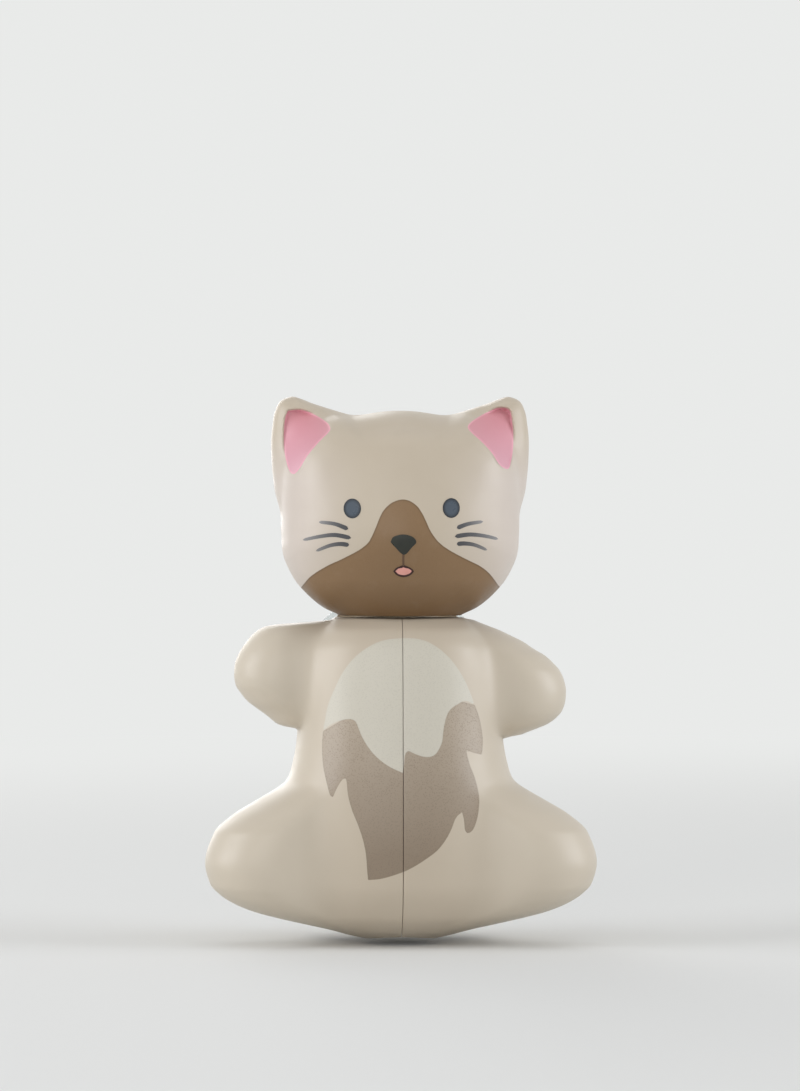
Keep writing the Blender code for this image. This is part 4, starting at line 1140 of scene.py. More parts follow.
@dataclass(frozen=True)
class Moulding:
    """Satin moulded plastic, with a painted sheen that turns it paler towards the sides, and printed patches
    where the piece carries them.
    """

    name: str
    colour: Colour
    shade: Colour
    roughness: float = 0.40
    # Painted sheen: a paler, cooler colour laid on the sides, full beyond the outer distance and below the
    # lower height, gone inside the inner distance and above the upper height.
    painted_side_sheen: Colour | None = None
    side_sheen_inside: float = 6.0 * MM
    side_sheen_outside: float = 16.0 * MM
    side_sheen_low: float = 34.0 * MM
    side_sheen_high: float = 42.0 * MM
    print_relief: float = 0.6
    rub_tint: float = 0.02
    rub_power: float = 0.8
    rub_polish: float = 0.07
    gloss_spread: tuple[float, float] = (-0.04, 0.05)
    grain_strength: float = 0.55
    grain_depth: float = 0.010 * MM
    ior: float = 1.48

    def build(self, effects: Effects, prints: Sequence[Print] = ()) -> bpy.types.Material:
        """Make the material.

        Args:
            effects: The shared node groups.
            prints: The patches, each over the ones before it.

        Returns:
            The material.
        """
        made, sketch, shader = Sketch.of_material(self.name, (*self.colour, 1.0))
        grain = sketch.group(effects.grain)
        mottle = grain.outputs["Mottle"]
        colour = sketch.mixed(sketch.ranged(mottle, *MOTTLE_RANGE, 0.0, 1.0), self.colour, self.shade)
        place = sketch.node("ShaderNodeSeparateXYZ")
        sketch.feed(place.inputs[0], sketch.place())
        side = sketch.maths("MULTIPLY", place.outputs["X"], place.outputs["X"])
        # Painted sheen: towards the sides, up to about the ears, the colour turns paler and cooler, standing
        # in for reflected side light.
        if self.painted_side_sheen:
            below = sketch.ranged(place.outputs["Z"], self.side_sheen_low, self.side_sheen_high, 1.0, 0.0)
            aside = sketch.ranged(side, self.side_sheen_inside**2, self.side_sheen_outside**2, 0.0, 1.0)
            colour = sketch.mixed(sketch.maths("MULTIPLY", below, aside), colour, self.painted_side_sheen)
        relief = grain.outputs["Height"]
        for patch in prints:
            edge = sketch.group(effects.print_edge, distance=sketch.attribute(patch.attribute))
            cover = edge.outputs["Cover"]
            colour = sketch.mixed(cover, colour, patch.painted(sketch, effects, place, side, edge))
            relief = sketch.maths("ADD", relief, sketch.maths("MULTIPLY", cover, self.print_relief))
        rub = grain.outputs["Rub"]
        rubbed = tuple(part**self.rub_power for part in self.colour)
        colour = sketch.mixed(sketch.maths("MULTIPLY", rub, self.rub_tint), colour, rubbed)
        least, most = (self.roughness + part for part in self.gloss_spread)
        rough = sketch.ranged(mottle, *MOTTLE_RANGE, least, most)
        rough = sketch.maths("SUBTRACT", rough, sketch.maths("MULTIPLY", rub, self.rub_polish))
        sketch.feed_all(shader, {"Base Color": colour, "Roughness": rough, "IOR": self.ior})
        sketch.relief(shader, relief, self.grain_strength, self.grain_depth)
        return made


@dataclass(frozen=True)
class Ink:
    """Printed ink with a slight sheen, which may turn to a second colour along its stroke or inward."""

    name: str
    colour: Colour
    deep: Colour
    roughness: float = 0.36
    far: Colour | None = None
    fineness: float = 7000.0
    wave: float = 900.0
    colour_range: tuple[float, float] = (0.35, 0.65)
    gloss_spread: float = 0.05
    grain_strength: float = 0.4
    grain_depth: float = 0.006 * MM

    def build(self, effects: Effects) -> bpy.types.Material:
        """Make the material.

        Args:
            effects: The shared node groups.

        Returns:
            The material.
        """
        made, sketch, shader = Sketch.of_material(self.name, (*self.colour, 1.0))
        grain = sketch.group(effects.grain, fineness=self.fineness, wave=self.wave)
        mottle = grain.outputs["Mottle"]
        colour = sketch.mixed(sketch.ranged(mottle, *self.colour_range, 0.0, 1.0), self.colour, self.deep)
        if self.far:
            colour = sketch.mixed(sketch.attribute("fade"), colour, self.far)
        least, most = self.roughness - self.gloss_spread, self.roughness + self.gloss_spread
        rough = sketch.ranged(mottle, *MOTTLE_RANGE, least, most)
        sketch.feed_all(shader, {"Base Color": colour, "Roughness": rough})
        sketch.relief(shader, grain.outputs["Height"], self.grain_strength, self.grain_depth)
        return made


@dataclass(frozen=True)
class ClearVinyl:
    """Soft clear vinyl of the suction cup."""

    name: str = "clear_vinyl"
    colour: Colour = (0.90, 0.945, 0.94)
    hazed: Colour = (0.84, 0.89, 0.885)
    opacity: float = 0.45
    roughness: float = 0.15
    haze_roughness: float = 0.12
    transmission: float = 0.90
    ior: float = 1.38
    fineness: float = 1600.0
    wave: float = 160.0
    ripple_strength: float = 0.3
    ripple_depth: float = 0.03 * MM

    def build(self, effects: Effects) -> bpy.types.Material:
        """Make the material.

        Args:
            effects: The shared node groups.

        Returns:
            The material.
        """
        made, sketch, shader = Sketch.of_material(self.name, (*self.colour, self.opacity))
        mottle = sketch.group(effects.grain, fineness=self.fineness, wave=self.wave).outputs["Mottle"]
        colour = sketch.mixed(sketch.ranged(mottle, *MOTTLE_RANGE, 0.0, 1.0), self.colour, self.hazed)
        rough = sketch.ranged(mottle, *MOTTLE_RANGE, self.roughness, self.roughness + self.haze_roughness)
        sketch.feed_all(shader, {
            "Base Color": colour, "Roughness": rough, "Transmission Weight": self.transmission,
            "IOR": self.ior,
        })
        sketch.relief(shader, mottle, self.ripple_strength, self.ripple_depth)
        return made


@dataclass(frozen=True)
class PlatedSteel:
    """Nickel-plated steel of the screws, pins and spring."""

    name: str
    colour: Colour = (0.62, 0.61, 0.58)
    dull: Colour = (0.55, 0.54, 0.515)
    roughness: float = 0.26
    dull_roughness: float = 0.08
    mark_strength: float = 0.35
    mark_depth: float = 0.008 * MM

    def build(self, effects: Effects) -> bpy.types.Material:
        """Make the material.

        Args:
            effects: The shared node groups.

        Returns:
            The material.
        """
        made, sketch, shader = Sketch.of_material(self.name, (*self.colour, 1.0))
        marks = sketch.group(effects.brushed)
        dull = marks.outputs["Dull"]
        rough = sketch.ranged(dull, 0.0, 1.0, self.roughness, self.roughness + self.dull_roughness)
        sketch.feed_all(shader, {
            "Base Color": sketch.mixed(dull, self.colour, self.dull), "Roughness": rough, "Metallic": 1.0,
        })
        sketch.relief(shader, marks.outputs["Height"], self.mark_strength, self.mark_depth)
        return made


class Palette:
    """Every finish of the holder."""

    def __init__(self) -> None:
        """Build the materials."""
        effects = Effects()
        beige, beige_shade = (0.536, 0.464, 0.368), (0.518, 0.446, 0.350)
        # The second pair is painted sheen: paler, cooler colours for the sides, standing in for reflected
        # side light.
        head_side_sheen, body_side_sheen = (0.590, 0.518, 0.456), (0.574, 0.508, 0.412)
        # Painted shade: the mask's lower colour darkens it towards the chin, standing in for the shade under
        # the head.
        mask = Paint((0.226, 0.136, 0.065), (0.132, 0.068, 0.023), 19 * MM, 13 * MM)
        # Painted shade and highlight: the ears' upper colour is darker as shade at their tops, and their
        # lighter edge line is a painted highlight along the rims of the hollows.
        ear = Paint((0.635, 0.275, 0.312), (0.645, 0.318, 0.388), 44 * MM, 36 * MM, edge_ink_and_glint_share=1.3)
        chest = Paint((0.590, 0.558, 0.476), (0.575, 0.543, 0.463), 9 * MM, -11 * MM, 0.0, 0.78)
        marking = Paint((0.405, 0.336, 0.260), (0.258, 0.200, 0.144), -1 * MM, -23 * MM, 26.0, 0.75)
        self.head = Moulding("printed_head_plastic", beige, beige_shade, painted_side_sheen=head_side_sheen).build(
            effects, (Print("mask_edge", mask, 0.55, 0.08), Print("ear_edge", ear, 0.60, 0.0)),
        )
        self.torso = Moulding("printed_body_plastic", beige, beige_shade, painted_side_sheen=body_side_sheen).build(
            effects, (Print("marking_edge", marking, 0.12, 0.55), Print("chest_edge", chest, 0.10, 0.38)),
        )
        self.plain = Moulding("plain_body_plastic", beige, beige_shade, painted_side_sheen=head_side_sheen).build(effects)
        self.ivory = Moulding(
            "ivory_liner_plastic", (0.72, 0.68, 0.60), (0.69, 0.65, 0.565), 0.43,
        ).build(effects)
        self.frame = Moulding(
            "frame_plastic", (0.545, 0.470, 0.372), (0.522, 0.450, 0.352), 0.45,
        ).build(effects)
        self.eye = Ink(
            "eye_ink", (0.012, 0.016, 0.022), (0.010, 0.013, 0.018), 0.30, (0.060, 0.080, 0.106),
        ).build(effects)
        self.whisker = Ink(
            "whisker_ink", (0.060, 0.061, 0.066), (0.050, 0.051, 0.056), far=(0.225, 0.218, 0.214),
        ).build(effects)
        self.nose = Ink("nose_ink", (0.018, 0.020, 0.013), (0.013, 0.015, 0.010), 0.32).build(effects)
        self.lip = Ink("lip_ink", (0.040, 0.010, 0.006), (0.032, 0.008, 0.005)).build(effects)
        self.line = Ink("nose_line_ink", (0.120, 0.066, 0.034), (0.100, 0.055, 0.028)).build(effects)
        self.tongue = Ink("tongue_ink", (0.730, 0.345, 0.295), (0.690, 0.310, 0.265)).build(effects)
        self.clear = ClearVinyl().build(effects)
        self.steel = PlatedSteel("plated_steel").build(effects)
        self.wire = PlatedSteel("spring_wire", (0.60, 0.60, 0.60), (0.50, 0.50, 0.50), 0.20).build(effects)


@dataclass
class BodyHalves:
    """The two printed shells and the ivory liners inside them."""

    palette: Palette
    form: BodyForm = BodyForm()
    wall: float = 1.8 * MM
    seam: float = 0.04 * MM
    rows: int = 150
    columns: int = 150
    inner_rows: int = 60
    inner_columns: int = 50
    flank_clearance: float = 0.3 * MM
    flank_radius: float = 7.5 * MM
    flank_sides: int = 128
    neck_radius: float = 5.7 * MM
    neck_sides: int = 96
    neck_y: float = -27.2 * MM
    neck_top: float = -23.0 * MM
    liner_round: float = 0.12 * MM
    patch_top: tuple[Pixel, ...] = (
        (403, 638), (385, 640), (370, 646), (355, 657), (343, 672), (335, 688), (328, 705), (325, 720),
        (323, 731),
    )
    patch_left_point: tuple[Pixel, ...] = (
        (323, 731), (330, 725), (340, 720.5), (350, 719), (356, 722), (360, 732), (365, 742), (372, 752),
        (380, 760), (390, 767), (403, 773),
    )
    patch_middle: tuple[Pixel, ...] = (
        (403, 773), (404, 765), (405, 755), (408, 751), (415, 754), (425, 757), (433, 756), (438, 751),
        (442, 742), (443.5, 730), (446, 718), (450, 710), (458, 704), (466, 701), (475, 705),
    )
    patch_right: tuple[Pixel, ...] = (
        (475, 705), (470, 692), (463, 677), (453, 662), (441, 650), (428, 642), (415, 638.5), (403, 638),
    )
    tail_left: tuple[Pixel, ...] = ((323, 731), (322, 745), (323, 765), (326, 780), (330, 795), (333, 797))
    tail_edge: tuple[Pixel, ...] = (
        (333, 797), (337, 788), (342, 780), (346, 779), (348, 795), (352, 810), (358, 825), (363, 840),
        (366, 855), (367, 868), (368, 880),
    )
    tail_foot: tuple[Pixel, ...] = (
        (368, 880), (380, 879), (395, 875), (410, 869), (425, 860), (438, 850), (447, 838), (452, 828),
        (456, 818), (462, 812),
    )
    tail_tuft: tuple[Pixel, ...] = ((462, 812), (464, 820), (465, 830), (468, 834))
    tail_right: tuple[Pixel, ...] = (
        (468, 834), (473, 830), (477, 820), (479, 808), (479, 795), (475, 778), (470, 765), (466, 750),
    )
    tail_corner: tuple[Pixel, ...] = ((466, 750), (474, 753), (482, 755))
    tail_shoulder: tuple[Pixel, ...] = ((482, 755), (483, 740), (480, 720), (475, 705))
    tail_inside: tuple[Pixel, ...] = ((475, 705), (400, 690), (323, 731))

    def shell(self, side: Side) -> bpy.types.Object:
        """Build one printed outer shell."""
        sign = side.value
        bm = self.form.half(side, 0.0, self.seam, self.rows, self.columns, rolled=True)
        obj = Shop.object_of(f"{side.label}_shell_skin", bm)
        low, high = self.form.bottom - OVERRUN, self.form.top + OVERRUN
        pin_low, pin_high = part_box(f"hinge_pin_{side.label}")
        hinge = [(pin_low[axis] + pin_high[axis]) / 2 for axis in range(2)]
        clear = self.flank_radius + self.flank_clearance
        near, far = -sign * OVERRUN, hinge[0] / 2
        rear_low = (min(near, far), self.neck_y, low)
        rear_high = (max(near, far), 0.0, high)
        inner = self.form.half(side, self.wall, -OVERRUN, self.inner_rows, self.inner_columns, rolled=False)
        neck_foot, neck_end = (0, self.neck_y, low), (0, self.neck_y, self.neck_top)
        Shop.carve(obj, (
            (Cut.REMOVE, inner),
            (Cut.REMOVE, Shop.rod(clear, (*hinge, low), (*hinge, high), self.flank_sides)),
            (Cut.REMOVE, Shop.rod(self.neck_radius, neck_foot, neck_end, self.neck_sides)),
            (Cut.REMOVE, Shop.box(rear_low, rear_high)),
        ))
        Shop.shade(obj)
        places = Shop.places(obj)
        pixels = PHOTO.pixels(places)
        behind = places[:, 1] > self.form.axis_y
        patch = outline_of(self.patch_top, self.patch_left_point, self.patch_middle, self.patch_right)
        tail = outline_of(
            self.tail_left, self.tail_edge, self.tail_foot, self.tail_tuft, self.tail_right, self.tail_corner,
            self.tail_shoulder, self.tail_inside,
        )
        for name, outline in (("chest_edge", patch), ("marking_edge", tail)):
            distance = signed_distance(pixels, outline) * PHOTO.metres_per_pixel
            Shop.mark(obj, name, np.where(behind, self.form.half_width, distance))
        return Shop.finish(obj, self.palette.torso, side.body, (f"{side.label}_shell",), "beige_plastic")

    def liner(self, side: Side) -> bpy.types.Object:
        """Build one liner with its edges eased."""
        node = f"{side.label}_liner"
        obj = Shop.copy_of(node, self.liner_round)
        return Shop.finish(obj, self.palette.ivory, side.body, (node,), "ivory_plastic")

    def build(self) -> None:
        """Build both halves."""
        for side in Side:
            for obj in (self.shell(side), self.liner(side)):
                log.info("%s rides on %s", obj.name, side.body)


@dataclass
class Head:
    """The fixed head: face shell, back shell and base plate, with its printed face."""

    palette: Palette
    form: HeadForm = HeadForm()
    wall: float = 1.8 * MM
    seam: float = 0.05 * MM
    lip: float = 0.6 * MM
    lip_reach: float = 0.9 * MM
    lip_play: float = 0.05 * MM
    part_share: float = 0.12
    divisions: int = 100
    ear_depth: float = 0.5 * MM
    ear_bank: float = 0.5 * MM
    film: float = 0.03 * MM
    pad_lift: float = 0.28 * MM
    pad_half: float = 6.2 * MM
    pad_depth: float = 5.0 * MM
    pad_round: float = 0.4 * MM
    gap: float = 0.3 * MM
    inner_divisions: int = 36
    lip_divisions: int = 60
    column_sides: int = 48
    ear_left: tuple[Pixel, ...] = (
        (288, 411), (300, 410), (312, 413.5), (325, 421), (330, 427), (329, 432), (320, 441), (308, 455),
        (300, 468), (294, 474), (289, 470), (285, 455), (284, 440), (285, 420), (288, 411),
    )
    ear_right: tuple[Pixel, ...] = (
        (497, 408), (505, 408), (510, 411), (512, 420), (513.5, 435), (513, 450), (511, 462), (508, 469),
        (500, 465), (492, 453), (483, 443), (473, 434), (468, 428), (470, 423), (480, 416), (490, 411),
        (497, 408),
    )
    mask_top: tuple[Pixel, ...] = (
        (270, 660), (288, 605), (296, 594), (303, 585), (310, 577), (320, 570), (330, 564.5), (340, 560),
        (350, 555), (360, 549.5), (368, 543), (372, 536), (376, 527), (380, 517), (384, 510), (390, 504),
        (397, 500.5), (403, 499.5), (410, 501), (417, 506), (422, 513), (426, 521), (430, 530),
        (436, 539), (442, 545), (450, 550.5), (460, 556), (470, 561), (480, 566), (488, 572), (494, 579),
        (499, 586), (508, 598), (530, 660),
    )
    mask_chin: tuple[Pixel, ...] = ((530, 660), (400, 720), (270, 660))
    eyes: tuple[tuple[Pixel, Pixel], ...] = (((352.3, 508.5), (8.7, 9.9)), ((451.3, 508.0), (8.5, 9.9)))
    nose: tuple[Pixel, ...] = (
        (390.6, 542), (393.6, 536.8), (403.2, 534.4), (412.6, 536.8), (416.3, 542), (412.2, 547),
        (404, 554.7), (395, 547), (390.6, 542),
    )
    nose_line: tuple[Pixel, ...] = ((403.5, 553), (403.3, 560), (403.5, 567.5))
    mouth: tuple[Pixel, ...] = (
        (395.5, 571), (398.5, 568.6), (401.8, 567.9), (403.5, 567.2), (405.2, 567.9), (408.5, 568.6),
        (411.5, 571), (408.5, 573.8), (403.5, 574.9), (398.5, 573.8), (395.5, 571),
    )
    mouth_border_px: float = 2.3
    whiskers: tuple[tuple[str, tuple[Pixel, ...]], ...] = (
        ("left_upper", ((348, 529), (335, 524), (319, 522))),
        ("left_middle", ((351, 538), (335, 535), (320, 536.5), (303, 540))),
        ("left_lower", ((349, 545), (340, 544), (330, 545.5), (316, 551))),
        ("right_upper", ((457, 528), (468, 524), (483, 521.5))),
        ("right_middle", ((455, 536.5), (470, 534.5), (485, 536), (498, 539))),
        ("right_lower", ((457, 544), (465, 543.5), (475, 545), (487, 550))),
    )
    whisker_half_px: float = 2.3
    whisker_tip_px: float = 1.55
    whisker_fade_power: float = 2.4
    nose_line_px: tuple[float, float] = (1.2, 1.0)
    eye_rim_px: float = 2.4
    eye_dark_share: float = 0.3
    stroke_power: int = 12
    stroke_end: float = 0.02
    stroke_rows: int = 4

    @property
    def face_wall(self) -> float:
        """Wall of the face shell, which also leaves room for the hollows of the ears."""
        return self.wall + self.ear_depth / 2

    @property
    def part_y(self) -> float:
        """Plane at which the face shell meets the back shell."""
        return self.form.centre[1] + self.part_share * self.form.back

    @property
    def chin(self) -> float:
        """Height at which the head is cut flat over the body."""
        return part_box("head_base_plate")[0][2]

    def cutters(self) -> tuple[Point, Point]:
        """Corners of a box well outside the head."""
        reach = 3 * self.form.half_width
        x, y, z = self.form.centre
        return (x - reach, y - reach, z - reach), (x + reach, y + reach, z + reach)

    def press_ears(self, bm: bmesh.types.BMesh, outlines: Sequence[np.ndarray]) -> None:
        """Sink the insides of the ears onto smooth floors.

        Args:
            bm: The head's bmesh, changed in place.
            outlines: Outlines of the hollows on the picture.
        """
        _, centre_y, centre_z = self.form.centre
        verts = [vert for vert in bm.verts if vert.co.y < centre_y and vert.co.z > centre_z]
        places = np.array([vert.co[:] for vert in verts])
        pixels = PHOTO.pixels(places)
        x, z = places[:, 0] / self.form.half_width, places[:, 2] / self.form.half_width
        terms = np.c_[x, z, x * x, z * z, x * z, np.ones(len(places))]
        for outline in outlines:
            distance = signed_distance(pixels, outline)
            inside = distance < 0
            floor = terms @ np.linalg.lstsq(terms[inside], places[inside, 1], rcond=None)[0]
            share = np.clip(0.5 - distance * PHOTO.metres_per_pixel / self.ear_bank, 0, 1)
            sink = self.ear_depth + floor - places[:, 1]
            places[:, 1] += sink * share * share * (3 - 2 * share)
        for vert, place in zip(verts, places):
            vert.co = place

    def face(self) -> bpy.types.Object:
        """Build the printed face shell."""
        ears = [outline_of(self.ear_left), outline_of(self.ear_right)]
        bm = self.form.whole(0.0, self.divisions, finer_ears=True)
        self.press_ears(bm, ears)
        obj = Shop.object_of("face_shell_skin", bm)
        low, high = self.cutters()
        Shop.carve(obj, (
            (Cut.REMOVE, self.form.whole(self.face_wall, self.inner_divisions)),
            (Cut.REMOVE, Shop.box(low, (high[0], high[1], self.chin))),
            (Cut.REMOVE, Shop.box((low[0], self.part_y - self.seam, low[2]), high)),
        ))
        Shop.shade(obj)
        pixels = PHOTO.pixels(Shop.places(obj))
        ear = np.minimum.reduce([signed_distance(pixels, outline) for outline in ears])
        mask = signed_distance(pixels, outline_of(self.mask_top, self.mask_chin))
        Shop.mark(obj, "ear_edge", ear * PHOTO.metres_per_pixel)
        Shop.mark(obj, "mask_edge", mask * PHOTO.metres_per_pixel)
        return Shop.finish(obj, self.palette.head, "root", ("head_face_shell",), "beige_plastic")

    def inner_lip(self) -> bmesh.types.BMesh:
        """Lip that closes the parting from inside, before it joins the back shell."""
        inset = self.face_wall + self.lip_play
        low, high = self.cutters()
        return Shop.shaped(self.form.whole(inset, self.lip_divisions), (
            (Cut.REMOVE, self.form.whole(inset + self.lip, self.lip_divisions)),
            (Cut.REMOVE, Shop.box(low, (high[0], self.part_y - self.lip_reach, high[2]))),
            (Cut.REMOVE, Shop.box((low[0], self.part_y + 2 * self.lip_reach, low[2]), high)),
            (Cut.REMOVE, Shop.box(low, (high[0], high[1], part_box("head_base_plate")[1][2] + self.lip))),
        ))

    def column(self, side: Side, rear: float) -> list[tuple[Cut, bmesh.types.BMesh]]:
        """Tools for one of the columns that the face shell is screwed to.

        Args:
            side: Which column.
            rear: A plane well behind the head.

        Returns:
            The column, which ends inside the shell, and the hole for its screw.
        """
        low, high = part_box(f"face_screw_{side.label}")
        x, z = (low[0] + high[0]) / 2, (low[2] + high[2]) / 2
        radius = (high[0] - low[0]) / 2 + self.gap
        front = self.part_y + self.seam
        column = Shop.rod(radius + self.wall / 2, (x, front, z), (x, rear, z), self.column_sides)
        within = self.form.whole(self.wall / 2, self.inner_divisions)
        hole = Shop.rod(radius, (x, front + self.wall, z), (x, rear, z), self.column_sides)
        return [(Cut.ADD, Shop.shaped(column, ((Cut.KEEP, within),))), (Cut.REMOVE, hole)]

    def back(self) -> bpy.types.Object:
        """Build the back shell with the pad that the frame's tongue is screwed to."""
        obj = Shop.object_of("back_shell_skin", self.form.whole(0.0, self.divisions))
        low, high = self.cutters()
        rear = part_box("head_back_shell")[1][1] + self.pad_lift
        tongue_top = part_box("rear_frame")[1][2]
        pad_low = (-self.pad_half, rear - self.pad_depth, self.chin)
        pad_high = (self.pad_half, rear, tongue_top + self.gap)
        tools = [
            (Cut.REMOVE, self.form.whole(self.wall + self.lip, self.inner_divisions)),
            (Cut.ADD, Shop.box(pad_low, pad_high, self.pad_round)),
        ]
        for side in Side:
            tools.extend(self.column(side, high[1]))
        tools.append((Cut.REMOVE, Shop.box(low, (high[0], high[1], self.chin))))
        tools.append((Cut.REMOVE, Shop.box(low, (high[0], self.part_y + self.seam, high[2]))))
        tools.append((Cut.ADD, self.inner_lip()))
        Shop.carve(obj, tools)
        Shop.shade(obj)
        return Shop.finish(obj, self.palette.plain, "root", ("head_back_shell",), "beige_plastic")

    def on_face(self, bm: bmesh.types.BMesh, name: str, skin: BVHTree, lift: float) -> bpy.types.Object:
        """Lay a flat mark of pixels onto the face as a thin film.

        Args:
            bm: The mark, in pixels, with its points at zero depth.
            name: Name of the new object.
            skin: The face shell's surface.
            lift: Height of the film's outside over the surface.

        Returns:
            The film.
        """
        for vert in bm.verts:
            hit, normal, _, _ = skin.ray_cast(*PHOTO.ray((vert.co.x, vert.co.y)))
            vert.co = hit + normal * lift
        bmesh.ops.recalc_face_normals(bm, faces=bm.faces)
        outward = sum((face.normal for face in bm.faces), Vector())
        if outward.y > 0:
            bmesh.ops.reverse_faces(bm, faces=bm.faces)
        bmesh.ops.solidify(bm, geom=bm.faces[:], thickness=self.film + lift)
        bmesh.ops.recalc_face_normals(bm, faces=bm.faces)
        obj = Shop.object_of(name, bm)
        Shop.shade(obj)
        return obj

    @staticmethod
    def filled(outline: np.ndarray, rings: int = 5) -> bmesh.types.BMesh:
        """A filled outline, which can bend over the head.

        Args:
            outline: Its points, one in each row.
            rings: Rings of faces round its middle.

        Returns:
            The flat mark, in pixels.
        """
        bm = bmesh.new()
        bmesh.ops.create_circle(bm, segments=len(outline), radius=1)
        for vert, place in zip(bm.verts, outline):
            vert.co = (*place, 0.0)
        centre = Vector((*outline.mean(axis=0), 0.0))
        edges = bm.edges[:]
        for ring in range(rings, 1, -1):
            grown = bmesh.ops.extrude_edge_only(bm, edges=edges)["geom"]
            verts = [item for item in grown if isinstance(item, bmesh.types.BMVert)]
            edges = [item for item in grown if isinstance(item, bmesh.types.BMEdge)]
            for vert in verts:
                vert.co = centre + (vert.co - centre) * (ring - 1) / ring
        bmesh.ops.holes_fill(bm, edges=edges, sides=0)
        return bm

    def ribbon(self, points: Sequence[Pixel], wide: float, thin: float) -> bmesh.types.BMesh:
        """A stroke that narrows from its first point to its last.

        Args:
            points: Points along its middle.
            wide: Half its width at the first point.
            thin: Half its width at the last point.

        Returns:
            The flat mark, in pixels.
        """
        line = smooth_stroke(points, STROKE_STEPS)
        along = np.gradient(line, axis=0)
        across = np.column_stack((-along[:, 1], along[:, 0])) / np.linalg.norm(along, axis=1)[:, None]
        share = np.linspace(0, 1, len(line))
        half = wide + (thin - wide) * share
        half = half * np.sqrt(np.clip(1 - np.abs(2 * share - 1) ** self.stroke_power, self.stroke_end, 1))
        bm = bmesh.new()
        bmesh.ops.create_grid(bm, x_segments=len(line) - 1, y_segments=self.stroke_rows, size=1)
        for index, vert in enumerate(bm.verts):
            step = index % len(line)
            row = 2 * (index // len(line)) / self.stroke_rows - 1
            vert.co = (*(line[step] + across[step] * half[step] * row), 0.0)
        return bm

    @staticmethod
    def oval(centre: Pixel, half: Pixel, steps: int = 56) -> np.ndarray:
        """Outline of an oval."""
        turn = np.linspace(0, 2 * math.pi, steps, endpoint=False)
        return np.column_stack((centre[0] + half[0] * np.cos(turn), centre[1] + half[1] * np.sin(turn)))

    def print_eyes(self, skin: BVHTree) -> None:
        """Lay the eyes on the face, which turn paler towards their middles."""
        for side, (centre, half) in zip(Side, self.eyes):
            edge = self.oval(centre, half)
            eye = self.on_face(self.filled(edge), f"{side.label}_eye_print", skin, self.film)
            depth = -signed_distance(PHOTO.pixels(Shop.places(eye)), edge)
            Shop.mark(eye, "fade", np.clip(depth / self.eye_rim_px - self.eye_dark_share, 0, 1))
            Shop.finish(eye, self.palette.eye, "root")

    def print_whiskers(self, skin: BVHTree) -> None:
        """Lay the whiskers on the face, which turn paler towards their tips."""
        for label, points in self.whiskers:
            bm = self.ribbon(points, self.whisker_half_px, self.whisker_tip_px)
            whisker = self.on_face(bm, f"{label}_whisker_print", skin, self.film)
            line = smooth_stroke(points, STROKE_STEPS)
            away = np.linalg.norm(PHOTO.pixels(Shop.places(whisker))[:, None] - line[None], axis=2)
            share = away.argmin(axis=1) / (len(line) - 1)
            Shop.mark(whisker, "fade", np.clip(share, 0, 1) ** self.whisker_fade_power)
            Shop.finish(whisker, self.palette.whisker, "root")

    def print_muzzle(self, skin: BVHTree) -> None:
        """Lay the nose, its line and the mouth on the face."""
        lens = outline_of(self.mouth)
        away = lens - lens.mean(axis=0)
        border = lens + away / np.linalg.norm(away, axis=1)[:, None] * self.mouth_border_px
        line = self.ribbon(self.nose_line, *self.nose_line_px)
        films = (
            (self.filled(outline_of(self.nose)), "nose_print", 2 * self.film, self.palette.nose),
            (line, "nose_line_print", self.film, self.palette.line),
            (self.filled(border), "mouth_print", self.film, self.palette.lip),
            (self.filled(lens), "tongue_print", 2 * self.film, self.palette.tongue),
        )
        for bm, name, lift, material in films:
            obj = Shop.finish(self.on_face(bm, name, skin, lift), material, "root")
            log.info("%s rides on root", obj.name)

    def build(self) -> None:
        """Build the head and its face."""
        face = self.face()
        plate = Shop.copy_of("head_base_plate", 0.0)
        Shop.finish(plate, self.palette.ivory, "root", ("head_base_plate",), "ivory_plastic")
        for obj in (face, self.back(), plate):
            log.info("%s rides on root", obj.name)
        skin = BVHTree.FromObject(face, bpy.context.evaluated_depsgraph_get())
        self.print_eyes(skin)
        self.print_whiskers(skin)
        self.print_muzzle(skin)


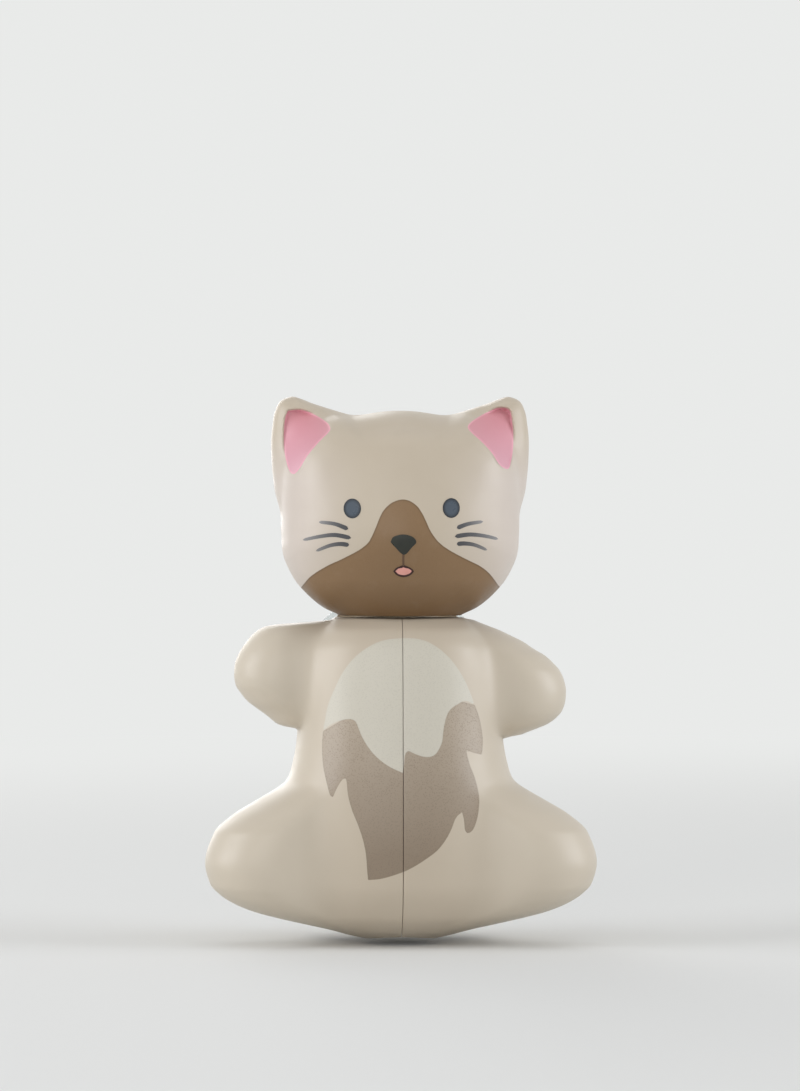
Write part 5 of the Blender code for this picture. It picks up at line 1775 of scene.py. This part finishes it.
@dataclass
class Hanger:
    """Rear frame and suction cup."""

    palette: Palette
    frame_round: float = 0.25 * MM
    rim: float = 2.2 * MM
    edge: float = 0.8 * MM
    dome: float = 6.2 * MM
    hollow: float = 2.4 * MM
    shoulder_radius: float = 5.6 * MM
    neck_radius: float = 3.0 * MM
    head_radius: float = 3.8 * MM
    head: float = 1.6 * MM
    clearance: float = 0.3 * MM
    plate: float = 2.0 * MM
    ease: float = 0.25 * MM
    skirt: tuple[tuple[float, float], ...] = ((0.20, 0.18), (0.40, 0.40), (0.58, 0.68), (0.705, 0.92))
    skirt_end: float = 0.705
    skirt_steps: int = 26
    hollow_end: float = 0.884
    hollow_steps: int = 22
    rim_steps: int = 9
    sides: int = 128
    crease: float = math.radians(50)

    def bell(self, radius: float) -> list[tuple[float, float]]:
        """Profile of the cup's hollow, rim and outside.

        Args:
            radius: Outer radius of the cup.

        Returns:
            Radii and heights from the middle of the hollow, round the rim, to the shoulder.
        """
        outer = ShareCurve.through(
            (0.0, self.edge), *((share, self.edge + self.dome * part) for share, part in self.skirt),
        )
        shares = np.linspace(0.0, self.skirt_end, self.skirt_steps)
        outside = [(radius * (1 - share), float(height)) for share, height in zip(shares, outer.at(shares))]
        inner = ShareCurve.through(
            (0.0, self.hollow), (0.30, self.hollow * 0.95), (0.62, self.hollow * 0.66),
            (self.hollow_end, self.clearance),
        )
        shares = np.linspace(0.0, self.hollow_end, self.hollow_steps)
        inside = [(radius * share, float(height)) for share, height in zip(shares, inner.at(shares))]
        bead = self.edge / 2
        turn = np.linspace(-math.pi / 2, math.pi / 2, self.rim_steps)
        rim = [(radius - bead + bead * math.cos(angle), bead + bead * math.sin(angle)) for angle in turn]
        return [*inside, (radius - self.rim, 0.0), *rim, *outside[1:]]

    def stem(self, shoulder: float, seat: float) -> list[tuple[float, float]]:
        """Profile of the cup's shoulder, neck and head.

        Args:
            shoulder: Height of the shoulder on one side of the frame's plate.
            seat: Height of the head's underside on the other side of it.

        Returns:
            Radii and heights from the shoulder to the middle of the head.
        """
        top = seat + self.head
        return [
            (self.shoulder_radius, shoulder - self.ease), (self.shoulder_radius - self.ease, shoulder),
            (self.neck_radius, shoulder), (self.neck_radius, seat),
            (self.head_radius - self.ease / 2, seat), (self.head_radius, seat + self.ease / 2),
            (self.head_radius, seat + self.head * 0.5), (self.head_radius * 0.86, seat + self.head * 0.84),
            (self.head_radius * 0.7, top), (0.0, top),
        ]

    def cup(self) -> bpy.types.Object:
        """Build the suction cup, with a bead at its rim."""
        low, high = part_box("suction_cup")
        radius = (high[0] - low[0]) / 2
        plate_back = -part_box("rear_frame")[1][1]
        seat = plate_back + self.plate + self.clearance
        profile = [*self.bell(radius), *self.stem(plate_back - self.clearance, seat)]
        turned = Shop.turned(profile, (0, 0, 0), (0, -1, 0), self.sides)
        obj = Shop.object_of("suction_cup_vinyl", turned)
        Shop.shade(obj, self.crease)
        return Shop.finish(obj, self.palette.clear, "root", ("suction_cup",), "clear_cup")

    def build(self) -> None:
        """Build the frame and the cup."""
        back = Shop.copy_of("rear_frame", self.frame_round)
        Shop.finish(back, self.palette.frame, "root", ("rear_frame",), "frame_plastic")
        for obj in (back, self.cup()):
            log.info("%s rides on root", obj.name)


@dataclass
class Mechanism:
    """Hinge pins and the toggle spring between the two halves."""

    palette: Palette
    pin_radius: float = 1.0 * MM
    pin_head: float = 0.6 * MM
    post_circle: float = 4.6 * MM
    post_angle: float = math.radians(-20)
    post_radius: float = 0.55 * MM
    height: float = 9.4 * MM
    wire: float = 0.40 * MM
    coil_radius: float = 1.0 * MM
    pitch: float = 0.90 * MM
    turns: int = 18
    loop_gap: float = 0.45 * MM
    loop_shift: float = 0.15 * MM
    loop_turn: int = 280
    loop_steps: int = 36
    coil_steps: int = 24
    sides: int = 48
    crease: float = math.radians(60)

    def pin(self, side: Side) -> bpy.types.Object:
        """Build one hinge pin with a domed head and an eased foot."""
        node = f"hinge_pin_{side.label}"
        low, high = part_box(node)
        centre = ((low[0] + high[0]) / 2, (low[1] + high[1]) / 2, 0.0)
        head_radius, neck = (high[0] - low[0]) / 2, high[2] - self.pin_head
        dome = [(radius, neck + rise) for radius, rise in Shop.dome(head_radius, self.pin_head, 0.7, 0.35)]
        profile = [
            (0.0, low[2]), (self.pin_radius * 0.7, low[2]), (self.pin_radius, low[2] + self.pin_radius * 0.4),
            (self.pin_radius, neck), (head_radius, neck), *dome, (0.0, high[2]),
        ]
        obj = Shop.object_of(f"{node}_steel", Shop.turned(profile, centre, (0, 0, 1), self.sides))
        Shop.shade(obj)
        return Shop.finish(obj, self.palette.steel, "root", (node,), "steel")

    def spring_line(self) -> list[Vector]:
        """Middle line of the spring.

        Returns:
            Its places, round one post, along the coil and round the other post.
        """
        low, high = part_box("hinge_pin_right")
        hinge_x, hinge_y = (low[0] + high[0]) / 2, (low[1] + high[1]) / 2
        y = hinge_y + self.post_circle * math.sin(self.post_angle)
        post_x = hinge_x + self.post_circle * math.cos(self.post_angle) + self.loop_shift
        loop = self.post_radius + self.loop_gap + self.wire / 2
        half_coil = self.turns * self.pitch / 2
        right = []
        for step in range(self.loop_steps + 1):
            turn = math.radians(180 + self.loop_turn * step / self.loop_steps)
            right.append(Vector((post_x + loop * math.cos(turn), y + loop * math.sin(turn), self.height)))
        steps, reach = self.coil_steps, self.coil_radius
        coil = []
        for step in range(self.turns * steps + 1):
            turn = 2 * math.pi * step / steps + math.pi / 2
            x = half_coil - step * self.pitch / steps
            coil.append(Vector((x, y + reach * math.sin(turn), self.height + reach * math.cos(turn))))
        left = [Vector((-point.x, point.y, point.z)) for point in reversed(right)]
        return [*right, *coil, *left]

    def spring(self) -> bpy.types.Object:
        """Build the toggle spring as one wire."""
        curve = bpy.data.curves.new("toggle_spring_wire", "CURVE")
        curve.dimensions = "3D"
        curve.bevel_depth = self.wire / 2
        curve.bevel_resolution = 3
        curve.use_fill_caps = True
        line = self.spring_line()
        spline = curve.splines.new("POLY")
        spline.points.add(len(line) - 1)
        for point, place in zip(spline.points, line):
            point.co = (*place, 1.0)
        guide = bpy.data.objects.new("spring_guide", curve)
        bpy.context.scene.collection.objects.link(guide)
        mesh = bpy.data.meshes.new_from_object(guide.evaluated_get(bpy.context.evaluated_depsgraph_get()))
        bpy.data.curves.remove(curve)
        obj = bpy.data.objects.new("toggle_spring_wire", mesh)
        bpy.context.scene.collection.objects.link(obj)
        Shop.shade(obj, self.crease)
        return Shop.finish(obj, self.palette.wire, "spring", ("toggle_spring",), "steel")

    def build(self) -> None:
        """Build the pins and the spring."""
        for side in Side:
            log.info("%s rides on root", self.pin(side).name)
        log.info("%s rides on spring", self.spring().name)


@dataclass
class Fasteners:
    """The pan-head screws of the liners, the frame and the head."""

    palette: Palette
    shank_radius: float = 0.9 * MM
    head: float = 1.0 * MM
    slot: float = 0.45 * MM
    slot_step: float = math.radians(67)
    sides: int = 48

    def screw(self, node: str, direction: Point, body: str, turned: float) -> bpy.types.Object:
        """Build one slotted screw.

        Args:
            node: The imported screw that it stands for.
            direction: Way that the screw points.
            body: The body that carries it.
            turned: Angle of its slot from upright.

        Returns:
            The screw.
        """
        low, high = (Vector(corner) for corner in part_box(node))
        size, centre = high - low, (high + low) / 2
        along = Vector(direction)
        length = abs(size.dot(along)) - self.head
        radius = size.z / 2
        seat = centre - along * (length + self.head) / 2 + along * self.head
        dome = Shop.dome(radius, -self.head, 0.62, 0.55)
        profile = [
            (0.0, -self.head), *reversed(dome), (radius, 0.0), (self.shank_radius, 0.0),
            (self.shank_radius, length - self.shank_radius), (0.0, length),
        ]
        obj = Shop.object_of(f"{node}_steel", Shop.turned(profile, tuple(seat), direction, self.sides))
        half = self.slot / 2
        slot = Shop.box((-half, -self.head - half, -2 * radius), (half, self.slot - self.head, 2 * radius))
        bmesh.ops.rotate(slot, cent=(0, 0, 0), matrix=Matrix.Rotation(turned, 3, "Y"), verts=slot.verts)
        onto = Vector((0, 1, 0)).rotation_difference(along).to_matrix()
        bmesh.ops.rotate(slot, cent=(0, 0, 0), matrix=onto, verts=slot.verts)
        bmesh.ops.translate(slot, vec=seat, verts=slot.verts)
        Shop.carve(obj, ((Cut.REMOVE, slot),))
        Shop.shade(obj)
        return Shop.finish(obj, self.palette.steel, body, (node,), "steel")

    def build(self) -> None:
        """Build every screw."""
        orders = []
        for side in Side:
            for place in ("arm", "leg"):
                orders.append((f"{side.label}_{place}_screw", (float(side.value), 0.0, 0.0), side.body))
            orders.append((f"face_screw_{side.label}", (0.0, -1.0, 0.0), "root"))
        for place in ("lower", "upper"):
            orders.append((f"frame_screw_{place}", (0.0, -1.0, 0.0), "root"))
        for index, (node, direction, body) in enumerate(orders):
            screw = self.screw(node, direction, body, self.slot_step * (index + 1))
            log.info("%s rides on %s", screw.name, body)


@dataclass
class Studio:
    """Floor, lamps, world and camera."""

    floor_drop: float = 0.4 * MM
    floor_size: float = 6.0
    background: Colour = (0.815, 0.825, 0.815)
    sheet: Colour = (0.790, 0.797, 0.785)
    near: float = 0.16
    far: float = 0.75
    sheet_roughness: float = 0.9
    sheet_gloss: float = 0.1
    ambient: float = 0.45
    ambient_colour: Colour = (1.0, 0.99, 0.975)
    clip_start: float = 0.01

    def floor(self) -> None:
        """Pale floor that fades into the background away from the object."""
        low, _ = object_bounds()
        bm = bmesh.new()
        bmesh.ops.create_grid(bm, x_segments=2, y_segments=2, size=self.floor_size / 2)
        bmesh.ops.translate(bm, vec=(0, PHOTO.plane_y, low[2] - self.floor_drop), verts=bm.verts)
        obj = Shop.object_of("studio_floor", bm)
        made, sketch, shader = Sketch.of_material("studio_floor", (*self.sheet, 1.0))
        sketch.feed_all(shader, {
            "Base Color": (*self.sheet, 1.0), "Roughness": self.sheet_roughness,
            "Specular IOR Level": self.sheet_gloss,
        })
        glow = sketch.node("ShaderNodeEmission")
        sketch.feed(glow.inputs["Color"], (*self.background, 1.0))
        flat = sketch.node("ShaderNodeVectorMath", operation="MULTIPLY")
        sketch.feed(flat.inputs[0], sketch.place())
        sketch.feed(flat.inputs[1], (1.0, 1.0, 0.0))
        reach = sketch.node("ShaderNodeVectorMath", operation="LENGTH")
        sketch.feed(reach.inputs[0], flat.outputs[0])
        share = sketch.ranged(reach.outputs["Value"], self.near, self.far, 0.0, 1.0, soft=True)
        surface = sketch.blended(share, shader.outputs[0], glow.outputs[0])
        sketch.feed(made.node_tree.nodes["Material Output"].inputs["Surface"], surface)
        obj.data.materials.append(made)
        obj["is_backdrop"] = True

    def world(self) -> None:
        """Soft ambient light, with the plain background where it is seen."""
        world = bpy.data.worlds.new("studio")
        bpy.context.scene.world = world
        world.use_nodes = True
        sketch = Sketch(world.node_tree)
        shade = world.node_tree.nodes["Background"]
        sketch.feed_all(shade, {"Color": (*self.ambient_colour, 1.0), "Strength": self.ambient})
        seen = sketch.node("ShaderNodeBackground")
        sketch.feed(seen.inputs["Color"], (*self.background, 1.0))
        path = sketch.node("ShaderNodeLightPath")
        shown = sketch.maths("MAXIMUM", path.outputs["Is Camera Ray"], path.outputs["Is Transmission Ray"])
        shown = sketch.maths("MAXIMUM", shown, path.outputs["Is Glossy Ray"])
        surface = sketch.blended(shown, shade.outputs[0], seen.outputs[0])
        sketch.feed(world.node_tree.nodes["World Output"].inputs["Surface"], surface)

    @staticmethod
    def aimed(name: str, data: bpy.types.ID, place: Point | Vector) -> bpy.types.Object:
        """Link a lamp or a camera that looks at the object.

        Args:
            name: Name of the new object.
            data: The data of the lamp or camera.
            place: Where it stands.

        Returns:
            The new object.
        """
        obj = bpy.data.objects.new(name, data)
        turn = (PHOTO.aim - Vector(place)).to_track_quat("-Z", "Y")
        obj.matrix_world = Matrix.Translation(place) @ turn.to_matrix().to_4x4()
        bpy.context.scene.collection.objects.link(obj)
        return obj

    def lamp(self, name: str, place: Point, width: float, power: float, colour: Colour) -> None:
        """One square soft lamp that looks at the object."""
        data = bpy.data.lights.new(name, "AREA")
        data.shape = "SQUARE"
        data.size = width
        data.energy = power
        data.color = colour
        self.aimed(name, data, place)

    def camera(self) -> None:
        """The camera at the photograph's angle."""
        data = bpy.data.cameras.new("photo_camera")
        data.sensor_fit = "AUTO"
        data.sensor_width = PHOTO.sensor
        data.lens = PHOTO.lens
        data.clip_start = self.clip_start
        bpy.context.scene.camera = self.aimed("photo_camera", data, PHOTO.eye)

    def build(self) -> None:
        """Set up the studio."""
        self.camera()
        self.floor()
        self.world()
        self.lamp("left_lamp", (-1.10, -0.25, 0.30), 0.8, 7.7, (0.93, 0.95, 1.0))
        self.lamp("right_lamp", (1.10, -0.25, 0.25), 0.8, 8.0, (0.91, 0.94, 1.0))
        self.lamp("front_lamp", (-0.30, -1.20, 0.33), 0.7, 2.6, (1.0, 0.985, 0.965))
        self.lamp("top_lamp", (0.0, -0.10, 1.05), 0.9, 1.2, (1.0, 1.0, 1.0))
        self.lamp("rear_lamp", (-0.35, 1.10, 0.35), 0.7, 4.0, (1.0, 1.0, 1.0))
        bpy.context.scene.view_settings.view_transform = "Standard"
        log.info("studio is set")


def main() -> None:
    """Build the holder piece by piece, then its studio."""
    logging.basicConfig(level=logging.INFO, format="%(message)s")
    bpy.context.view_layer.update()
    palette = Palette()
    Studio().build()
    BodyHalves(palette).build()
    Head(palette).build()
    Hanger(palette).build()
    Mechanism(palette).build()
    Fasteners(palette).build()


if __name__ == "__main__":
    main()
